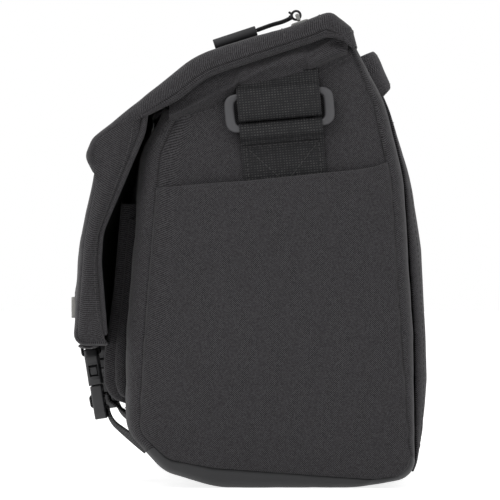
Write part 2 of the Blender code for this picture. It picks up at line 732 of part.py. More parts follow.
def zip_pull(bar_middle):
    """A loop of cord round the bail's bar with a rubber grip tube on its end, lying forward on the lid."""
    lie = PULL_TUBE_RADIUS + 0.8 * MM
    turn = [
        Vector((0, PULL_LOOP_RADIUS * math.sin(angle), bar_middle + PULL_LOOP_RADIUS * math.cos(angle)))
        for angle in (math.radians(30 * step) for step in range(7))
    ]
    free_end = Vector((0, -4.6 * MM, turn[0].z + 0.5 * MM))
    lead = [
        Vector((0, -4.5 * MM, turn[-1].z + 0.3 * MM)),
        Vector((0, -9 * MM, (turn[-1].z + lie) / 2)),
        Vector((0, -17 * MM, lie + 0.4 * MM)),
        Vector((0, -26 * MM, lie)),
    ]
    route = smooth_route([free_end, *turn, *lead], 2)
    curve = bpy.data.curves.new("pull_cord", "CURVE")
    curve.dimensions = "3D"
    curve.bevel_depth = PULL_CORD_RADIUS
    curve.bevel_resolution = 2
    curve.use_fill_caps = True
    spline = curve.splines.new("POLY")
    spline.points.add(len(route) - 1)
    for point, place in zip(spline.points, route):
        point.co = (*place, 1)
    slider = ZIP_FRAME @ Matrix.Translation((SLIDER_X, 0, 0))
    add("pull_cord", curve, CORD, slider)
    data = bpy.data.meshes.new("pull_tube")
    work = bmesh.new()
    middle = lead[-1] - Vector((0, GAP + PULL_TUBE_LENGTH / 2, 0))
    bmesh.ops.create_cone(
        work,
        cap_ends=True,
        segments=16,
        radius1=PULL_TUBE_RADIUS,
        radius2=PULL_TUBE_RADIUS,
        depth=PULL_TUBE_LENGTH,
        matrix=Matrix.Translation(middle) @ Matrix.Rotation(math.pi / 2, 4, "X"),
    )
    work.to_mesh(data)
    work.free()
    add("pull_tube", data, RUBBER, slider)


# ---------------------------------------------------------------- strap rings and the shoulder strap
RING_X = HALF + GAP + WEBBING + RING_CLEARANCE + RING_BAR / 2
ANCHOR_Y = BACK_SEAM - ANCHOR_FROM_BACK
BAR_SPACING = RING_HEIGHT - RING_BAR
BAR_TURN = RING_BAR / 2 + RING_CLEARANCE + WEBBING / 2  # radius of a webbing's turn round a ring bar

# The strap crosses the collar low enough to pass under the lid at both of its edges.
LID_OVER_STRAP = min(lid_frame(ANCHOR_Y + edge * WEBBING_WIDTH / 2)[0] for edge in (-1, 1))
STRAP_SADDLE = LID_OVER_STRAP - STRAP_UNDER_LID
ANCHOR_BAR_HEIGHT = STRAP_SADDLE - RING_BELOW_SADDLE
SADDLE_Y = ANCHOR_Y - RING_BELOW_SADDLE * math.sin(RING_TILT)

STRAP_WALL_X = COLLAR_X - CLOTH / 2 - 3 * GAP - WEBBING / 2
FOLD = 2 * (WEBBING + GAP)


def ring_frame(side):
    """Local frame at the ring's lower bar: local X out of the bag, local Z up along the strap."""
    tilt = Matrix.Rotation(RING_TILT, 4, "X")
    return Matrix.Translation((side * RING_X, ANCHOR_Y, ANCHOR_BAR_HEIGHT)) @ tilt


def round_bar(sweep, centre, radius, start, steps=6):
    """Points on an arc round a bar, in the plane of a webbing's path."""
    return [
        centre + radius * Vector((math.cos(start + sweep * i / steps), math.sin(start + sweep * i / steps)))
        for i in range(steps + 1)
    ]


def webbing(name, path, width, frame, side=1, thickness=WEBBING):
    path = [Vector((side * p.x, p.y)) for p in path]
    return extruded(name, [strip(path, thickness)], width, STRAPPING, frame @ STAND_XZ)


def strap_ends():
    for side, end in ((1, "right"), (-1, "left")):
        frame = ring_frame(side)
        foot = Vector((-BAR_TURN, -ANCHOR_FOOT))
        loop = round_bar(-math.pi, Vector((0, 0)), BAR_TURN, math.pi)
        hem = Vector((BAR_TURN, -9 * MM))
        webbing(f"anchor_webbing_{end}", [foot, *loop, hem], WEBBING_WIDTH, frame, side)

        leg_top = Vector((-BAR_TURN, BAR_SPACING + STRAP_END))
        wrap = round_bar(math.pi * 1.5, Vector((0, BAR_SPACING)), BAR_TURN, math.pi, 9)
        webbing(f"strap_end_{end}", [leg_top, *wrap], WEBBING_WIDTH, frame, side)

        outer = rounded_rectangle(RING_WIDTH, RING_HEIGHT, 7 * MM)
        inner = rounded_rectangle(WEBBING_WIDTH + 4.4 * MM, RING_HEIGHT - 2 * RING_BAR, 1.6 * MM, 1)
        middle = frame @ Matrix.Translation((0, 0, BAR_SPACING / 2)) @ STAND_YZ
        ring = extruded(f"strap_ring_{end}", [outer, inner], RING_BAR, RING_PLASTIC, middle)
        rounded(meshed(ring), 1.1 * MM, 2)


def rounded_rectangle(width, height, radius, steps=4):
    points = []
    for x, y, start in ((1, 1, 0), (-1, 1, 90), (-1, -1, 180), (1, -1, 270)):
        centre = Vector((x * (width / 2 - radius), y * (height / 2 - radius)))
        for step in range(steps + 1):
            angle = math.radians(start + 90 * step / steps)
            points.append(centre + radius * Vector((math.cos(angle), math.sin(angle))))
    return points


def shoulder_strap():
    """The shoulder strap: tucked in under the lid, down inside each end and folded on the floor."""
    wall_x = STRAP_WALL_X - RING_X
    top = RING_BELOW_SADDLE + GAP
    start = Vector((-BAR_TURN, BAR_SPACING + STRAP_END + GAP))
    crest_radius = (-BAR_TURN - wall_x) / 2
    crest = round_bar(math.pi, Vector((-BAR_TURN - crest_radius, top)), crest_radius, 0, 8)
    bend = 10 * MM
    reach = STRAP_WALL_X - 14 * MM
    for side, end, low in ((1, "right", STRAP_FLOOR_Z), (-1, "left", STRAP_FLOOR_Z + 2 * FOLD)):
        floor = -(ANCHOR_BAR_HEIGHT - low) / math.cos(RING_TILT)
        foot = fillet_path([(wall_x, top), (wall_x, floor, bend), (wall_x - 13 * MM, floor)], 4)
        webbing(f"shoulder_strap_{end}", [start, *crest, *foot[1:]], WEBBING_WIDTH, ring_frame(side), side)
    foot_y = ANCHOR_Y + (ANCHOR_BAR_HEIGHT - STRAP_FLOOR_Z) * math.tan(RING_TILT)
    low = Vector((0, STRAP_FLOOR_Z))
    half_fold = Vector((STRAP_FOLD_LENGTH / 2, 0))
    radius = FOLD / 2
    path = [
        low + Vector((reach, 0)),
        *round_bar(-math.pi, low - half_fold + Vector((0, radius)), radius, -math.pi / 2, 6),
        *round_bar(math.pi, low + half_fold + Vector((0, 3 * radius)), radius, -math.pi / 2, 6),
        low + Vector((-reach, 4 * radius)),
    ]
    webbing("shoulder_strap_folds", path, WEBBING_WIDTH, Matrix.Translation((0, foot_y, 0)))
    return foot_y


def strap_adjuster(foot_y):
    """A three-bar slider round the top ply of the folded strap: outer bars under it, middle bar over it."""
    wide = WEBBING_WIDTH + 2 * ADJUSTER_MARGIN
    rim = rounded_rectangle(ADJUSTER_LENGTH, wide, 4 * MM)
    opening = rounded_rectangle(ADJUSTER_LENGTH - 2 * ADJUSTER_BAR, WEBBING_WIDTH + 1.5 * MM, 1.5 * MM)
    bar = rounded_rectangle(ADJUSTER_BAR, wide - ADJUSTER_MARGIN, 1.5 * MM)
    clear = WEBBING / 2 + GAP + ADJUSTER_THICK / 2
    for name, outlines, level in (
        ("strap_adjuster", [rim, opening], -clear),
        ("strap_adjuster_bar", [bar], clear),
    ):
        place = Matrix.Translation((ADJUSTER_X, foot_y, STRAP_FLOOR_Z + 2 * FOLD + level))
        extruded(name, outlines, ADJUSTER_THICK, PLASTIC, place)


# ---------------------------------------------------------------- flap buckles
MOUTH_Y = FRONT_SEAM - 30.2 * MM


def buckle_frame(x):
    """Local frame at the buckle's mouth: local Z up its axis, local -Y out of its front."""
    return Matrix.Translation((x, MOUTH_Y, MOUTH_HEIGHT)) @ Matrix.Rotation(BUCKLE_TILT, 4, "X")


SLOT_HEIGHT = 3.6 * MM
CAVITY_THICK = BUCKLE_THICK - 2 * BUCKLE_WALL
CAVITY_WIDTH = BUCKLE_WIDTH - 2 * BUCKLE_WALL - 1.4 * MM
TONGUE_THICK = CAVITY_THICK - 2 * BUCKLE_CLEARANCE
LADDER = (-6.2 * MM, -13.4 * MM)  # the two slots that the adjustable strap weaves through
PRONG_LENGTH = 15 * MM
PRONG_WIDTH = 2.8 * MM
PRONG_SHOULDER = 1.5 * MM  # how far the shoulder stands out from the prong's stem
PRONG_NECK = 6.2 * MM  # height of the shoulder's catch face over the mouth
PRONG_PIVOT = 1.4 * MM  # height of the point that the prong's stem bends about
PRONG_ROOT = CAVITY_WIDTH / 2 - BUCKLE_CLEARANCE / 2 - PRONG_SHOULDER - PRONG_WIDTH / 2


def socket(name, frame):
    """The female half: a flat sleeve with open side windows and a webbing slot at its head."""
    wide, high = BUCKLE_WIDTH / 2, SOCKET_LENGTH
    waist = wide - 1.2 * MM
    outline = [
        (-wide, 0),
        (-wide, 3.5 * MM),
        (-waist, 6 * MM),
        (-waist, 14 * MM),
        (-wide + 0.4 * MM, high - 5 * MM),
        (-wide + 3 * MM, high),
        (wide - 3 * MM, high),
        (wide - 0.4 * MM, high - 5 * MM),
        (waist, 14 * MM),
        (waist, 6 * MM),
        (wide, 3.5 * MM),
        (wide, 0),
    ]
    body = meshed(extruded(name, [outline], BUCKLE_THICK, PLASTIC, frame @ STAND_XZ))
    rounded(body, 1.2 * MM, 2)
    cavity_high = SOCKET_LENGTH - SLOT_HEIGHT - 4.6 * MM
    cavity = frame @ Matrix.Translation((0, 0, cavity_high / 2 - 2 * MM))
    cut(body, name + "_cavity", (CAVITY_WIDTH, CAVITY_THICK, cavity_high + 4 * MM), cavity)
    window = frame @ Matrix.Translation((0, 0, 9 * MM))
    cut(body, name + "_windows", (BUCKLE_WIDTH + 6 * MM, CAVITY_THICK, 7 * MM), window)
    slot = frame @ Matrix.Translation((0, 0, SOCKET_LENGTH - 1.9 * MM - SLOT_HEIGHT / 2))
    cut(body, name + "_slot", (NARROW_WEBBING + 1 * MM, 3 * BUCKLE_THICK, SLOT_HEIGHT), slot)


def plug(name, frame):
    """The male half: a ladder lock body with a middle guide tongue; its two prongs are separate."""
    wide = BUCKLE_WIDTH / 2
    low = -PLUG_BODY_LENGTH
    outline = [
        (-wide + 0.3 * MM, -BUCKLE_CLEARANCE),
        (-wide + 0.3 * MM, low + 4 * MM),
        (-wide + 3 * MM, low),
        (wide - 3 * MM, low),
        (wide - 0.3 * MM, low + 4 * MM),
        (wide - 0.3 * MM, -BUCKLE_CLEARANCE),
    ]
    body = meshed(extruded(name, [outline], BUCKLE_THICK - 1 * MM, PLASTIC, frame @ STAND_XZ))
    rounded(body, 1 * MM, 2)
    root, tip = 3.5 * MM, 2.5 * MM
    tongue = [(root, -3 * MM), (tip, 11 * MM), (-tip, 11 * MM), (-root, -3 * MM)]
    guide = meshed(extruded(name + "_guide", [tongue], TONGUE_THICK, PLASTIC, frame @ STAND_XZ))
    PARTS.objects.unlink(guide)
    as_cutter(guide)
    union = body.modifiers.new("guide_tongue", "BOOLEAN")
    union.operation = "UNION"
    union.object = guide
    slot_size = (NARROW_WEBBING + 1.4 * MM, 3 * BUCKLE_THICK, SLOT_HEIGHT + 0.6 * MM)
    for index, z in enumerate(LADDER):
        cut(body, f"{name}_slot_{index}", slot_size, frame @ Matrix.Translation((0, 0, z)))


def prong(name, frame, side):
    """One sprung side prong; its shoulder stands in the socket's window."""
    inner, outer = PRONG_ROOT - PRONG_WIDTH / 2, PRONG_ROOT + PRONG_WIDTH / 2
    bulge, tip = outer + PRONG_SHOULDER, PRONG_LENGTH
    outline = [
        (inner, GAP),
        (inner, tip - 4 * MM),
        (PRONG_ROOT, tip - 1.5 * MM),
        (outer, tip - 2.5 * MM),
        (bulge - 0.6 * MM, tip - 3.2 * MM),
        (bulge, tip - 4 * MM),
        (bulge, PRONG_NECK),
        (outer, PRONG_NECK - 0.8 * MM),
        (outer, GAP),
    ]
    outline = [(side * x, z) for x, z in outline]
    rounded(meshed(extruded(name, [outline], TONGUE_THICK, PLASTIC, frame @ STAND_XZ)), 0.4 * MM, 1)


def flap_tab(name, frame):
    """The short webbing loop that holds the socket under the flap's lower seam."""
    thick = TAB_WEBBING
    face = BUCKLE_THICK / 2 + GAP + thick / 2
    slot = SOCKET_LENGTH - 1.9 * MM - SLOT_HEIGHT / 2
    top = (FLAP_DROP - GAP - MOUTH_HEIGHT) / math.cos(BUCKLE_TILT) - face * math.tan(BUCKLE_TILT)
    bend = 1.4 * MM
    path = fillet_path([(-face, top, 0), (-face, slot, bend), (face, slot, bend), (face, top, 0)], 4)
    extruded(name, [strip(path, thick)], NARROW_WEBBING, STRAPPING, frame @ STAND_YZ)


def front_strap(name, frame, x):
    """The adjustable strap: sewn at the base seam, woven through the plug's ladder, with a free tail."""
    thick = BUCKLE_STRAP
    face = BUCKLE_THICK / 2 - 0.5 * MM + GAP + thick / 2
    second = face + thick + GAP
    seam = FULL[BASE_FRONT] + Vector((-0.75, -0.66)).normalized() * (thick / 2 + GAP)
    foot = frame.inverted() @ Vector((x, seam.x, seam.y))
    path = fillet_path(
        [
            (foot.y, foot.z, 0),
            (face, -PLUG_BODY_LENGTH - 3 * MM, 8 * MM),
            (face, LADDER[1], 1.5 * MM),
            (-face, LADDER[1], 1.5 * MM),
            (-face, LADDER[0], 1.5 * MM),
            (second, LADDER[0], 1.5 * MM),
            (second, -10.6 * MM, 3 * MM),
            (second + 9 * MM, -PLUG_BODY_LENGTH + 1 * MM, 0),
        ],
        4,
    )
    extruded(name, [strip(path, thick)], NARROW_WEBBING, STRAPPING, frame @ STAND_YZ)


def buckles():
    for side, end in ((1, "right"), (-1, "left")):
        x = side * BUCKLE_SPACING / 2
        frame = buckle_frame(x)
        socket(f"buckle_socket_{end}", frame)
        plug(f"buckle_plug_{end}", frame)
        prong(f"plug_prong_{end}_outer", frame, side)
        prong(f"plug_prong_{end}_inner", frame, -side)
        flap_tab(f"flap_tab_{end}", frame)
        front_strap(f"front_strap_{end}", frame, x)


# ---------------------------------------------------------------- handle, label and inner pieces
HANDLE_LEAN = math.radians(27)
HANDLE_TOP = Matrix.Translation((0, HINGE.y + 2.6 * MM, HINGE.z - 3.4 * MM))


def handle():
    """The grab handle behind the flap seam: a padded band standing off the back, its ends turned in."""
    half, reach = HANDLE_SPAN / 2, HANDLE_REACH
    path = fillet_path(
        [
            (-half, 0, 0),
            (-half + 2 * MM, reach, 9 * MM),
            (half - 2 * MM, reach, 9 * MM),
            (half, 0, 0),
        ],
        5,
    )
    drop = HANDLE_TOP @ Matrix.Rotation(HANDLE_LEAN, 4, "X")
    middle = drop @ Matrix.Translation((0, 0, -HANDLE_WIDTH / 2))
    band = meshed(extruded("grab_handle", [strip(path, HANDLE_THICK)], HANDLE_WIDTH, SHELL, middle))
    rounded(band, 1.2 * MM, 2)


def label():
    """A small woven tab label, arched off the flap's front."""
    height = FLAP_DROP + LABEL_OVER_HEM
    front = path_at_height(FLAP_FRONT, height)
    half, rise = LABEL_LENGTH / 2, LABEL_RISE
    bend = 2 * MM
    flat = half - bend / 2
    path = fillet_path([(-half, 0, 0), (-flat, rise, bend), (flat, rise, bend), (half, 0, 0)])
    arch = Matrix.Translation((HALF - LABEL_FROM_END, front - 0.9 * MM, height))
    turned = arch @ Matrix.Rotation(math.pi, 4, "X")
    extruded("woven_label", [strip(path, LABEL_THICK)], LABEL_HEIGHT, LABEL, turned)


def inner_pieces():
    """The stiffener board on the base and the padded divider in front of the notebook sleeve."""
    floor = PANEL + GAP
    front, back = FRONT_SEAM + BOARD_FRONT_GAP, BACK_SEAM - BOARD_BACK_GAP
    board = Matrix.Translation((0, (front + back) / 2, floor + BOARD_THICK / 2))
    board_length = BAG_WIDTH - 2 * (EDGE_ROUND + BOARD_END_GAP)
    board_mesh = box_mesh("base_board", (board_length, back - front, BOARD_THICK), board)
    add("base_board", board_mesh, BOARD)
    top = BACK_HEIGHT - SLEEVE_BELOW_TOP
    inside = offset_path(FULL, PANEL)[BASE_BACK:]
    path = [p - Vector((SLEEVE_ROOM, 0)) for p in inside if SLEEVE_ROOM < p.y < top]
    foot = Vector((path[0].x - 1.5 * MM, floor + BOARD_THICK + SLEEVE_OVER_BOARD))
    divider_length = BAG_WIDTH - 2 * SLEEVE_END_GAP
    extruded("laptop_divider", [strip([foot, *path], SLEEVE_THICK)], divider_length, LINING, STAND_YZ)


# ---------------------------------------------------------------- joint axes
def pivot(name, place, parts, parent=None):
    """An empty on a joint's axis, with the pieces that it moves parented to it where they are."""
    empty = bpy.data.objects.new(name, None)
    PARTS.objects.link(empty)
    empty.empty_display_size = 10 * MM
    empty.matrix_world = place
    carried = [bpy.data.objects[part] for part in parts]
    for piece in carried:
        piece.parent = empty
        piece.matrix_parent_inverse = place.inverted()
    if parent is not None:
        empty.parent = parent
        empty.matrix_parent_inverse = parent.matrix_world.inverted()
    return empty


def pivots(bar_middle):
    """Each joint's empty: its X axis is the hinge axis, or its Z axis the way a buckle's plug slides."""
    flap = pivot(
        "flap_hinge_axis",
        Matrix.Translation(HINGE),
        ["flap_lid", "flap_backing", "flap_front", "flap_side_right", "flap_side_left", "lid_zip_tape"]
        + ["lid_zip_coil", "woven_label", "buckle_socket_right", "buckle_socket_left"]
        + ["flap_tab_right", "flap_tab_left"],
    )
    slider_place = ZIP_FRAME @ Matrix.Translation((SLIDER_X, 0, 0))
    slider = pivot("zip_slide_axis", slider_place, ["zip_slider", "zip_slider_bail"], flap)
    bar = slider_place @ Matrix.Translation((0, 0, bar_middle))
    pivot("pull_swing_axis", bar, ["pull_cord", "pull_tube"], slider)
    pivot("handle_raise_axis", HANDLE_TOP, ["grab_handle"])
    for side, end in ((1, "right"), (-1, "left")):
        pivot(f"ring_tilt_axis_{end}", ring_frame(side), [f"strap_ring_{end}", f"strap_end_{end}"])
        frame = buckle_frame(side * BUCKLE_SPACING / 2)
        plug_parts = [f"buckle_plug_{end}", f"front_strap_{end}"]
        plug_axis = pivot(f"buckle_release_axis_{end}", frame, plug_parts)
        for prong_side, face in ((side, "outer"), (-side, "inner")):
            root = frame @ Matrix.Translation((prong_side * PRONG_ROOT, 0, PRONG_PIVOT))
            prong_name = f"plug_prong_{end}_{face}"
            pivot(f"prong_squeeze_axis_{end}_{face}", root, [prong_name], plug_axis)


def build():
    body_panels()
    end_panels()
    collars()
    side_pockets()
    front_pocket()
    back_pocket()
    lid = lid_panel()
    flap_front()
    coil_top = lid_zip(lid)
    bar_middle = zip_slider(coil_top)
    zip_pull(bar_middle)
    strap_ends()
    foot_y = shoulder_strap()
    strap_adjuster(foot_y)
    buckles()
    handle()
    label()
    inner_pieces()
    pivots(bar_middle)


build()
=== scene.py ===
"""The looks of a flap-top shoulder bag: its woven panels, straps, zip, rings, buckles and stitching.

Metres, +Z up. The bag's length runs along X, its flap faces -Y and its back +Y.
"""

import math

import bmesh
import bpy
import numpy as np
from bpy.props import FloatProperty, FloatVectorProperty, IntProperty, PointerProperty
from mathutils import Matrix, Vector, noise


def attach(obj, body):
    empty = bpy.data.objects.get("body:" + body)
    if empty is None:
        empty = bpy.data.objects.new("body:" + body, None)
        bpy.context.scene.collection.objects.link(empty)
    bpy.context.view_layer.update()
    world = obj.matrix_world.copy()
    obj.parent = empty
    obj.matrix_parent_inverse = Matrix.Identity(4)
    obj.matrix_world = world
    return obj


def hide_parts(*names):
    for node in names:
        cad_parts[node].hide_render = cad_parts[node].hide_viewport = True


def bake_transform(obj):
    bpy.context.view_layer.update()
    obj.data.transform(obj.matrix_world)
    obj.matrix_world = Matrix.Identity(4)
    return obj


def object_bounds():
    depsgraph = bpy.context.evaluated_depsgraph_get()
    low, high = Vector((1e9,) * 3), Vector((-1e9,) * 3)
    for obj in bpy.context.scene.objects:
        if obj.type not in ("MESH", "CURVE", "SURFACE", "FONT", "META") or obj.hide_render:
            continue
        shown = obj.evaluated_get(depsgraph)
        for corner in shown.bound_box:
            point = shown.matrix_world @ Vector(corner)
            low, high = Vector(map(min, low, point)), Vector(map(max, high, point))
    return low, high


bl_info = {
    "name": "Flap Shoulder Bag",
    "version": (1, 0, 0),
    "blender": (4, 5, 0),
    "location": "View3D > Sidebar > Bag",
    "description": "Dresses a flap-top shoulder bag in woven cloth, webbing, moulded plastic and stitching",
    "category": "Add Mesh",
}

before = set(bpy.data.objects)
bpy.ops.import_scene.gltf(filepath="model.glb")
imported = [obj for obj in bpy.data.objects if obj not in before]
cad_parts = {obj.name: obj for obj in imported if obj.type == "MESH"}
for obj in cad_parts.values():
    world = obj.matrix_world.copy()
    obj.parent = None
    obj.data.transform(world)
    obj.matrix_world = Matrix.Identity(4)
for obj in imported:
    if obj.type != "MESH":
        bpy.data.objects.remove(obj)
CAD_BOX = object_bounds()
MM = 0.001
BAG_MIDDLE = np.array((0.0, 0.0, 0.14))
ENDS = ((1, "right"), (-1, "left"))
CLOTH_MAP = "cloth"
NARROW_RIBS = 14


# ---------------------------------------------------------------- sizes and colours
def size(name, description, millimetres):
    """A length property, its default in millimetres."""
    default = millimetres * MM
    return FloatProperty(name=name, description=description, default=default, unit="LENGTH", precision=5)


def colour(name, description, value):
    """A colour property."""
    return FloatVectorProperty(
        name=name, description=description, default=value, subtype="COLOR", min=0, max=1
    )


class BagSizes(bpy.types.PropertyGroup):
    """Sizes of the sewn pieces."""

    half_width: size("Half width", "Middle of the bag to an end panel's face", 190)
    edge_round: size("Edge round", "Width of a wall panel's rounded edge at an end seam", 14)
    panel: size("Panel", "Thickness of the padded wall panels", 3)
    pocket_bulge: size("Pocket bulge", "How far a side pocket stands off its end panel", 7)
    webbing: size("Webbing", "Width of the shoulder strap", 50)
    webbing_thick: size("Webbing thickness", "Thickness of the shoulder strap", 1.5)
    narrow_webbing: size("Narrow webbing", "Width of the flap straps", 25)
    thread: size("Thread", "Radius of the sewing thread", 0.24)
    stitch: size("Stitch", "Length of one stitch", 2.6)
    stitch_gap: size("Stitch gap", "Gap between two stitches", 1.0)
    weave_pitch: size("Weave pitch", "Distance between two threads of the shell cloth", 0.62)
    strap_ribs: IntProperty(
        name="Strap ribs", description="Ribs across the shoulder strap", default=28, min=4
    )


class BagFinishes(bpy.types.PropertyGroup):
    """Colours of the bag's materials."""

    shell: colour("Shell cloth", "Woven outer cloth", (0.042, 0.040, 0.043))
    lining: colour("Lining", "Inner cloth", (0.036, 0.036, 0.040))
    coated: colour("Coated base", "Smooth coated cloth of the base", (0.034, 0.034, 0.036))
    webbing: colour("Webbing", "Woven straps", (0.0035, 0.0035, 0.0045))
    # webbing_glint is a painted highlight: pale dashes that stand in for glints of light on the webbing's
    # weave
    webbing_glint: colour("Webbing glint", "Painted glints in the straps' grooves", (0.12, 0.118, 0.116))
    thread: colour("Thread", "Sewing thread", (0.05, 0.048, 0.05))
    bartack: colour("Bartack", "Reddish locking stitches", (0.16, 0.035, 0.03))
    plastic: colour("Buckle plastic", "Side-release buckles", (0.036, 0.036, 0.038))
    ring: colour("Ring plastic", "Strap rings", (0.07, 0.069, 0.074))
    metal: colour("Slider metal", "Zip slider", (0.26, 0.26, 0.25))
    rubber: colour("Pull rubber", "Zip pull tube", (0.028, 0.028, 0.030))
    cord: colour("Pull cord", "Zip pull cord", (0.012, 0.012, 0.013))
    label: colour("Label tape", "Bare woven tab", (0.33, 0.325, 0.31))
    board: colour("Stiffener", "Board on the base", (0.05, 0.05, 0.05))


def sizes():
    """The sizes that the scene holds."""
    return bpy.context.scene.bag_sizes


def finishes():
    """The colours that the scene holds."""
    return bpy.context.scene.bag_finishes


# ---------------------------------------------------------------- shader expressions
class Wire:
    """A shader socket that adds the Math nodes of the Python expression it stands in."""

    def __init__(self, board, socket):
        self.board = board
        self.socket = socket

    def math(self, operation, *others):
        values = dict(enumerate((self, *others)))
        return self.board.node("ShaderNodeMath", {"operation": operation}, values)

    def reflected(self, operation, other):
        return self.board.node("ShaderNodeMath", {"operation": operation}, {0: other, 1: self})

    def __add__(self, other):
        return self.math("ADD", other)

    def __sub__(self, other):
        return self.math("SUBTRACT", other)

    def __mul__(self, other):
        return self.math("MULTIPLY", other)

    def __truediv__(self, other):
        return self.math("DIVIDE", other)

    def __mod__(self, other):
        return self.math("FLOORED_MODULO", other)

    def __gt__(self, other):
        return self.math("GREATER_THAN", other)

    def __abs__(self):
        return self.math("ABSOLUTE")

    def __rsub__(self, other):
        return self.reflected("SUBTRACT", other)

    def __rtruediv__(self, other):
        return self.reflected("DIVIDE", other)

    __radd__ = __add__
    __rmul__ = __mul__

    def floor(self):
        return self.math("FLOOR")

    def hump(self):
        """Half a sine wave over each whole number: 0 at its ends and 1 in its middle."""
        return abs((self * math.pi).math("SINE"))


class Board:
    """A node tree under construction."""

    def __init__(self, tree):
        self.tree = tree

    def node(self, kind, settings=None, values=None, out=0):
        made = self.tree.nodes.new(kind)
        for name, value in (settings or {}).items():
            setattr(made, name, value)
        for name, value in (values or {}).items():
            if isinstance(value, Wire):
                self.tree.links.new(value.socket, made.inputs[name])
            else:
                made.inputs[name].default_value = value
        return Wire(self, made.outputs[out])

    def blend(self, share, first, second):
        """A colour between two, by share."""
        return self.node(
            "ShaderNodeMix",
            {"data_type": "RGBA"},
            {0: share, 6: opaque(first), 7: opaque(second)},
            out=2,
        )

    def cloth_map(self):
        """The two directions of the cloth map, in metres: across and along."""
        place = self.node("ShaderNodeUVMap", {"uv_map": CLOTH_MAP})
        across = self.node("ShaderNodeSeparateXYZ", values={0: place})
        along = Wire(self, across.socket.node.outputs[1])
        return across, along

    def place(self):
        return self.node("ShaderNodeTexCoord", out=3)

    def grain(self, waves, detail=3.0, rough=0.55):
        """Noise with so many waves to the metre, from 0 to 1."""
        values = {"Vector": self.place(), "Scale": waves, "Detail": detail, "Roughness": rough}
        return self.node("ShaderNodeTexNoise", values=values)

    def speck(self, column, row):
        """A random tone for each cell of a grid."""
        cell = self.node("ShaderNodeCombineXYZ", values={0: column, 1: row})
        return self.node("ShaderNodeTexWhiteNoise", {"noise_dimensions": "2D"}, {"Vector": cell})

    def bump(self, height, depth, strength=1.0):
        values = {"Height": height, "Distance": depth, "Strength": strength}
        return self.node("ShaderNodeBump", values=values)


def opaque(value):
    """A colour with its alpha, or a wire as it is."""
    return value if isinstance(value, Wire) else (*tuple(value)[:3], 1)


def shaded(value, factor):
    """A colour made darker or lighter."""
    return tuple(min(channel * factor, 1) for channel in value)


class Finish(Board):
    """A material: the constants go straight onto its shader, the patterns through nodes."""

    def __init__(self, name, **constants):
        self.material = bpy.data.materials.new(name)
        self.material.use_nodes = True
        super().__init__(self.material.node_tree)
        self.shader = self.tree.nodes["Principled BSDF"]
        for socket, value in constants.items():
            self.set(socket.replace("_", " "), value)

    def set(self, socket, value):
        target = self.shader.inputs[socket]
        if isinstance(value, Wire):
            self.tree.links.new(value.socket, target)
        else:
            target.default_value = value


def weave_of(board, pitch):
    """(height, tone) of a plain weave: each thread's rise over the next, and each crossing's own shade."""
    across, along = board.cloth_map()
    warp, weft = across / pitch, along / pitch
    over = (warp.floor() + weft.floor()) % 2
    under = 1 - over
    rise = warp.hump() * (weft.hump() * 0.6 + 0.4)
    fall = weft.hump() * (warp.hump() * 0.6 + 0.4)
    height = over * rise + under * fall
    return height, over * 0.62 + board.speck(warp.floor(), weft.floor()) * 0.38


def woven_cloth(name, base, pitch, relief=0.16 * MM, contrast=1.0):
    """Plain-woven polyester with crossings of slightly different shades and a soft sheen."""
    board = Finish(name, Specular_IOR_Level=0.25, Sheen_Weight=0.12, Sheen_Roughness=0.5)
    height, tone = weave_of(board, pitch)
    mottle = board.grain(1000, 3, 0.8)
    patches = board.grain(22, 4)
    # The raised threads are painted lighter and the hollows between them darker: painted shade. The
    # crossings' tone, the mottle and the patches are the cloth's own shades.
    share = height * 0.3 + (tone - 0.5) * 1.5 * contrast + (mottle - 0.5) * 0.8 * contrast
    share = share + patches * 0.1 + 0.28
    board.set("Base Color", board.blend(share, shaded(base, 0.1), shaded(base, 2.1)))
    board.set("Roughness", 0.94 - height * 0.12)
    board.set("Normal", board.bump(height * 0.4 + mottle * 1.2, relief, 0.7))
    return board.material


def coated_cloth():
    """Close-woven cloth under a smooth coat, duller where it has been scuffed."""
    board = Finish("coated_cloth", Specular_IOR_Level=0.4)
    height, tone = weave_of(board, sizes().weave_pitch * 0.7)
    scuffs = board.grain(60, 6, 0.7)
    base = finishes().coated
    # Painted shade: the raised weave lighter, its hollows darker; the scuffs add paler wear.
    share = height * 0.3 + scuffs * 0.5
    board.set("Base Color", board.blend(share, shaded(base, 0.75), shaded(base, 1.25)))
    board.set("Roughness", 0.5 + scuffs * 0.2 + tone * 0.04)
    board.set("Normal", board.bump(height * 0.4 + scuffs * 0.6, 0.08 * MM, 0.6))
    return board.material


def strap_webbing(name, width, ribs):
    """Ribbed webbing: ribs along its length, their crests painted lighter and their grooves darker as painted
    shade, with pale dashes in the grooves as painted glints.
    """
    board = Finish(name, Specular_IOR_Level=0.3)
    across, along = board.cloth_map()
    rib = across / (width / ribs)
    pick = along / (1.5 * MM)
    ridge = rib.hump()
    groove = 1 - ridge
    pick_and_glint = (pick.hump() > 0.7) * (groove > 0.3)
    yarn = (pick * 2 + rib.floor() * 0.5).hump()
    tone = board.speck(rib.floor(), pick.floor())
    base, pale = finishes().webbing, finishes().webbing_glint
    # Painted shade: rib crests and yarn crests lighter, the grooves between them darker.
    body = board.blend(ridge * 0.5 + yarn * 0.3 + tone * 0.2, shaded(base, 0.5), shaded(base, 1.7))
    # Painted highlights: pale dashes in the grooves stand in for glints of light; the same mask also raises
    # them in the bump.
    board.set("Base Color", board.blend(pick_and_glint * (tone * 0.45 + 0.2), body, pale))
    board.set("Roughness", 0.62 + groove * 0.2)
    board.set("Normal", board.bump(ridge * 0.6 + yarn * ridge * 0.4 + pick_and_glint * 0.3, 0.35 * MM, 0.8))
    return board.material


